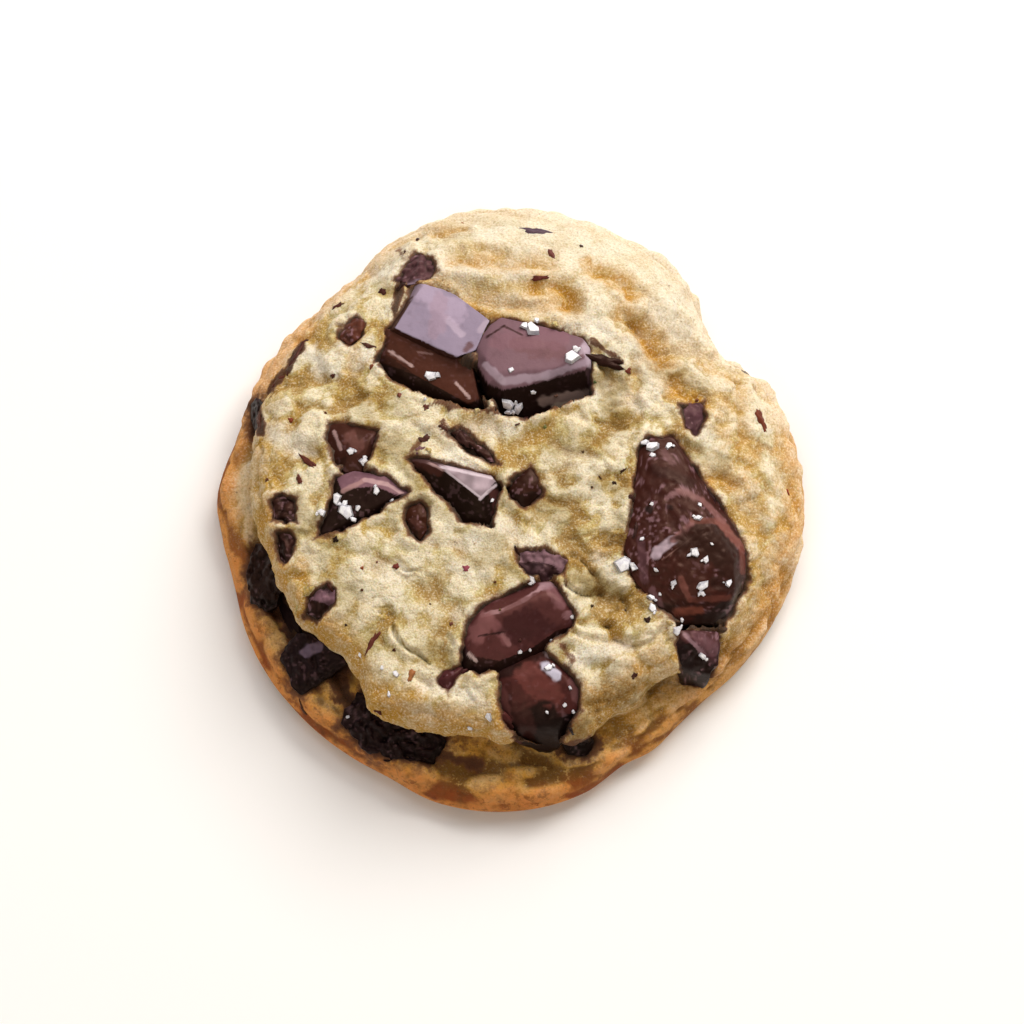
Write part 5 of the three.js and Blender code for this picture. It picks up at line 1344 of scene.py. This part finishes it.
# %% Chips
# from px, py to px, py, width in millimetres, colour
CHIPS = [
    (522, 229, 551, 233, 1.3, "#54424e"), (549, 249, 554, 258, .8, "#6b3f3a"),
    (531, 279, 549, 277, .7, "#5a2a24"), (380, 289, 386, 294, 1.2, "#452520"),
    (332, 309, 344, 303, .8, "#52302a"), (300, 455, 316, 468, .9, "#5a2e26"),
    (297, 475, 301, 484, .8, "#5a2e26"), (378, 631, 366, 653, .9, "#5b2e26"),
    (413, 668, 409, 681, .8, "#96613a"), (497, 712, 514, 730, 1.2, "#4a2422"),
    (632, 678, 637, 673, .8, "#3a2018"), (362, 343, 376, 349, .7, "#4e2f28"),
    (303, 343, 287, 371, 1.1, "#46241e"), (283, 375, 272, 388, .8, "#5a2e24"),
    (757, 408, 766, 431, 1.1, "#6b3526"), (733, 371, 748, 374, 1.5, "#3a2a2a"),
    (706, 484, 716, 503, 1.2, "#2c1a1c"), (587, 355, 624, 366, 1.5, "#25120f"),
    (520, 424, 528, 418, .7, "#4a2c28"), (514, 546, 520, 556, .4, "#2c1814"),
    (455, 435, 470, 446, 1.3, "#3b2422"), (327, 583, 333, 592, .5, "#3a1d18"),
    (374, 710, 382, 714, .6, "#4e2620"), (573, 733, 588, 744, 1.5, "#1d1414"),
    (466, 669, 444, 682, 1.4, "#3c1c1e"), (419, 441, 430, 437, 1.2, "#472a26"),
    (786, 489, 789, 496, .5, "#8a3226"), (596, 473, 602, 480, .3, "#4e3528"),
    (620, 473, 626, 468, .5, "#3c2a22"), (637, 520, 634, 540, .5, "#352220"),
    # the wide dark chip in the hollow under the lip stands for chocolate and for the shade there
    (281, 600, 296, 634, 2.6, "#1d1214"), (398, 292, 404, 280, 1.6, "#2c1713"),
    (258, 412, 260, 430, .9, "#4a2a1e"), (440, 423, 447, 431, .8, "#4a2c24"),
    (416, 452, 424, 447, .9, "#6a4a50"), (300, 700, 306, 716, .8, "#4a2c1a")]
bits = []
for number, (x0, y0, x1, y1, width, colour) in enumerate(CHIPS):
    (start, n0), (end, n1) = seen_at(x0, y0), seen_at(x1, y1)
    bits.append((*chip_mesh(start, end, width, n0 + n1, number), linear(colour)))
print(len(CHIPS), "chips")

# %% Specks
# px, py, radius in millimetres, colour
SPECKS = [
    (333, 376, .35, "#4a2a22"), (291, 420, .40, "#7a3a28"), (325, 413, .25, "#5a3424"),
    (267, 480, .25, "#5a3424"), (336, 540, .40, "#1c1210"), (396, 566, .45, "#6b2f2a"),
    (362, 568, .25, "#8a4a2e"), (466, 568, .50, "#8a4450"), (451, 624, .30, "#6b4238"),
    (346, 625, .20, "#2c1c16"), (362, 590, .20, "#5a3a2a"), (394, 650, .25, "#4a2c20"),
    (495, 582, .20, "#5a3826"), (418, 240, .30, "#4a3430"), (405, 252, .18, "#4a3430"),
    (581, 246, .30, "#4a3630"), (595, 382, .25, "#55603a"), (545, 427, .30, "#6a7040"),
    (628, 371, .45, "#6a3428"), (583, 452, .20, "#4a3626"), (592, 487, .20, "#4a3626"),
    (614, 483, .30, "#33241e"), (697, 400, .25, "#7a4a34"), (462, 223, .30, "#96613a"),
    (630, 497, .50, "#38221f"), (648, 620, .45, "#30201c"), (625, 610, .20, "#4a3a2a"),
    (592, 606, .25, "#3a2c22"), (377, 562, .15, "#6b4238"), (430, 604, .18, "#6b5238"),
    (500, 610, .18, "#6b5238"), (556, 396, .30, "#5c4238"), (400, 395, .40, "#6e3f34"),
    (426, 407, .45, "#5a332c"), (372, 366, .35, "#7a4430"), (520, 640, .20, "#4a2c28")]
for number, (px, py, radius, colour) in enumerate(SPECKS):
    place, normal = seen_at(px, py)
    side = np.array([radius, 0.3 * radius, 0.0])
    bits.append((*chip_mesh(place - side, place + side, 2 * radius, normal, number), linear(colour)))
print(len(SPECKS), "specks")

# %% [markdown]
# ## Crumbs of dough
# A few crumbs of dough fell on the chocolate, and a strand of dough bridges the hollow on the left.
# They are chips of another material, two and a half times as proud.

# %% Dough crumbs
# from px, py to px, py, width in millimetres; the first is the strand
CRUMBS = [
    (309, 585, 296, 612, 1.2), (474, 412, 480, 410, .6), (552, 322, 558, 326, .7), (426, 449, 431, 452, .7),
    (667, 622, 673, 625, .6)]
CRUMB_SEED, CRUMB_PROUD = 70, 2.6
crumb_parts = []
for number, (x0, y0, x1, y1, width) in enumerate(CRUMBS):
    (start, n0), (end, n1) = seen_at(x0, y0), seen_at(x1, y1)
    crumb = chip_mesh(start, end, width, n0 + n1, CRUMB_SEED + number, CRUMB_PROUD)
    crumb_parts.append((*crumb, (1, 1, 1, 1)))
points, faces, _ = gather(crumb_parts)
dough_crumbs = make_piece("dough_crumbs", points, faces, baked_dough)
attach(dough_crumbs, "root")
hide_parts("dough")

# %% All small chips as one piece
points, faces, tone = gather(bits)
chips = make_piece("small_chips", points, faces, dark_chocolate, values={"tone": tone})
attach(chips, "root")

# %% [markdown]
# ## Salt
# Flaky sea salt is white, brittle and slightly clear. A flake is one to three sharp shards that grew
# together, 1 to 3 mm across, lying flat on what it fell on. Its faces are flat and take no
# smoothing, and light goes a little way in, so that it looks milky and not like plastic.

# %% Salt material
sea_salt, tree, out = new_material("flaky_sea_salt")
milky = blend_colour(tree, step(tree, noise(tree, 0.7, 3), 0.4, 0.65), "#fbfafe", "#dddce6")
frost = noise(tree, 0.5, 3)
bump = add_node(tree, "ShaderNodeBump", {"Strength": 0.4, "Distance": 0.0001, "Height": frost})
body = add_node(tree, "ShaderNodeBsdfPrincipled", {
    "Base Color": milky, "Roughness": 0.28, "IOR": 1.54, "Normal": bump.outputs[0],
    "Subsurface Weight": 0.4, "Subsurface Radius": (1, 1, 1), "Subsurface Scale": 0.0008})
tree.links.new(body.outputs[0], out.inputs[0])
print("flaky sea salt:", len(tree.nodes), "nodes")

# %% Shape of a shard
def shard(place, normal, size, chance):
    """A thin crystal: five corners below, five above and a tip, tilted a little on the surface."""
    turn = np.arange(5) / 5 * 2 * math.pi + chance.uniform(-0.35, 0.35, 5)
    out_to = chance.uniform(0.7, 1.1, 5)[:, None]
    ring = np.column_stack([np.cos(turn), np.sin(turn) * chance.uniform(0.6, 0.85)]) * out_to
    under = np.column_stack([ring, np.full(5, -0.25)])
    over = np.column_stack([0.80 * ring, np.full(5, 0.17)])
    corners = np.vstack([under, over, [[0.2, 0.1, 0.25]]]) * size / 2
    spin = chance.uniform(0, 2 * math.pi)
    side = np.cross(normal, [math.cos(spin), math.sin(spin), 0.3])
    side = side / np.linalg.norm(side)
    up = normal + 0.35 * chance.uniform(-1, 1, 3)
    front = np.cross(up, side)
    front = front / np.linalg.norm(front)
    up = np.cross(side, front)
    return place + corners @ np.array([side, front, up])


def hull_faces(corners):
    """Triangles of a small convex hull, each with all other corners behind it."""
    three = np.array(list(itertools.permutations(range(len(corners)), 3)))
    three = three[(three[:, 0] < three[:, 1]) & (three[:, 0] < three[:, 2])]
    a, b, c = (corners[three[:, i]] for i in range(3))
    n = np.cross(b - a, c - a)
    over = (corners[None] - a[:, None]) @ n[:, :, None]
    return three[over[..., 0].max(axis=1) < 1e-9]


pyramid = np.array([[0.0, 0, 0], [1, 0, 0], [0, 1, 0], [0, 0, 1]])
print("a pyramid on three corners has", len(hull_faces(pyramid)), "faces")

# %% Flakes
# px, py, size in pixels of the picture
FLAKES = [
    (430, 375, 14), (533, 330, 17), (572, 357, 16), (511, 370, 6), (508, 404, 14), (518, 408, 12),
    (533, 392, 6), (653, 447, 16), (669, 446, 8), (351, 452, 8), (364, 462, 10), (337, 499, 11),
    (322, 512, 9), (347, 512, 17), (376, 491, 9), (392, 501, 7), (358, 508, 7), (624, 563, 18),
    (652, 504, 5), (698, 518, 8), (700, 505, 5), (695, 553, 11), (706, 560, 8), (702, 586, 14),
    (728, 583, 8), (674, 583, 8), (651, 598, 9), (653, 608, 9), (676, 631, 11), (682, 620, 5),
    (532, 580, 8), (570, 688, 5), (565, 705, 5), (573, 712, 5), (547, 712, 4), (489, 717, 8), (470, 728, 6),
    (360, 655, 5), (382, 668, 5), (396, 674, 7), (389, 694, 6), (348, 717, 5), (703, 655, 9), (551, 640, 4),
    (572, 617, 5), (520, 652, 5), (530, 650, 4), (549, 668, 9), (642, 539, 5), (656, 570, 5), (660, 594, 4),
    (712, 544, 4), (425, 399, 4), (492, 500, 5)]
# size of each shard as a share of the flake's, and how far from its middle
SHARDS = ((1.0, 0.0), (0.5, 0.42), (0.4, 0.45))
# a shard doesn't fill the circle round its corners, so a pixel counts for a little more than PIXEL_MM
SHARD_MM = 0.19
chance = np.random.default_rng(7)
flakes = []
for px, py, size in FLAKES:
    place, normal = seen_at(px, py)
    wide = size * SHARD_MM
    count = 3 if size > 12 else 2 if size > 7 else 1
    for share, out_by in SHARDS[:count]:
        turn = chance.uniform(0, 2 * math.pi)
        sideways = wide * out_by * np.array([math.cos(turn), math.sin(turn), 0])
        corners = shard(place + sideways + normal * 0.12 * wide, normal, wide * share, chance)
        flakes.append((corners, [hull_faces(corners)], (1, 1, 1, 1)))
points, faces, _ = gather(flakes)
salt = make_piece("salt_flakes", points, faces, sea_salt, smooth=False)
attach(salt, "root")
print(len(FLAKES), "places with", len(flakes), "shards")

# %% [markdown]
# ## In place of the solid model
# In the solid model, small chips are fused to the dough, and each flake of salt to the dough or to
# the chunk that it lies on. Here each chunk has taken the place of its own node, and the skin, the
# chips, the crumbs and the salt take the place of the dough together.

# %% Replacing the dough
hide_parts("dough")
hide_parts("dough")
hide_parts("dough")
print("dough_skin, small_chips, dough_crumbs and salt_flakes replace the node dough")
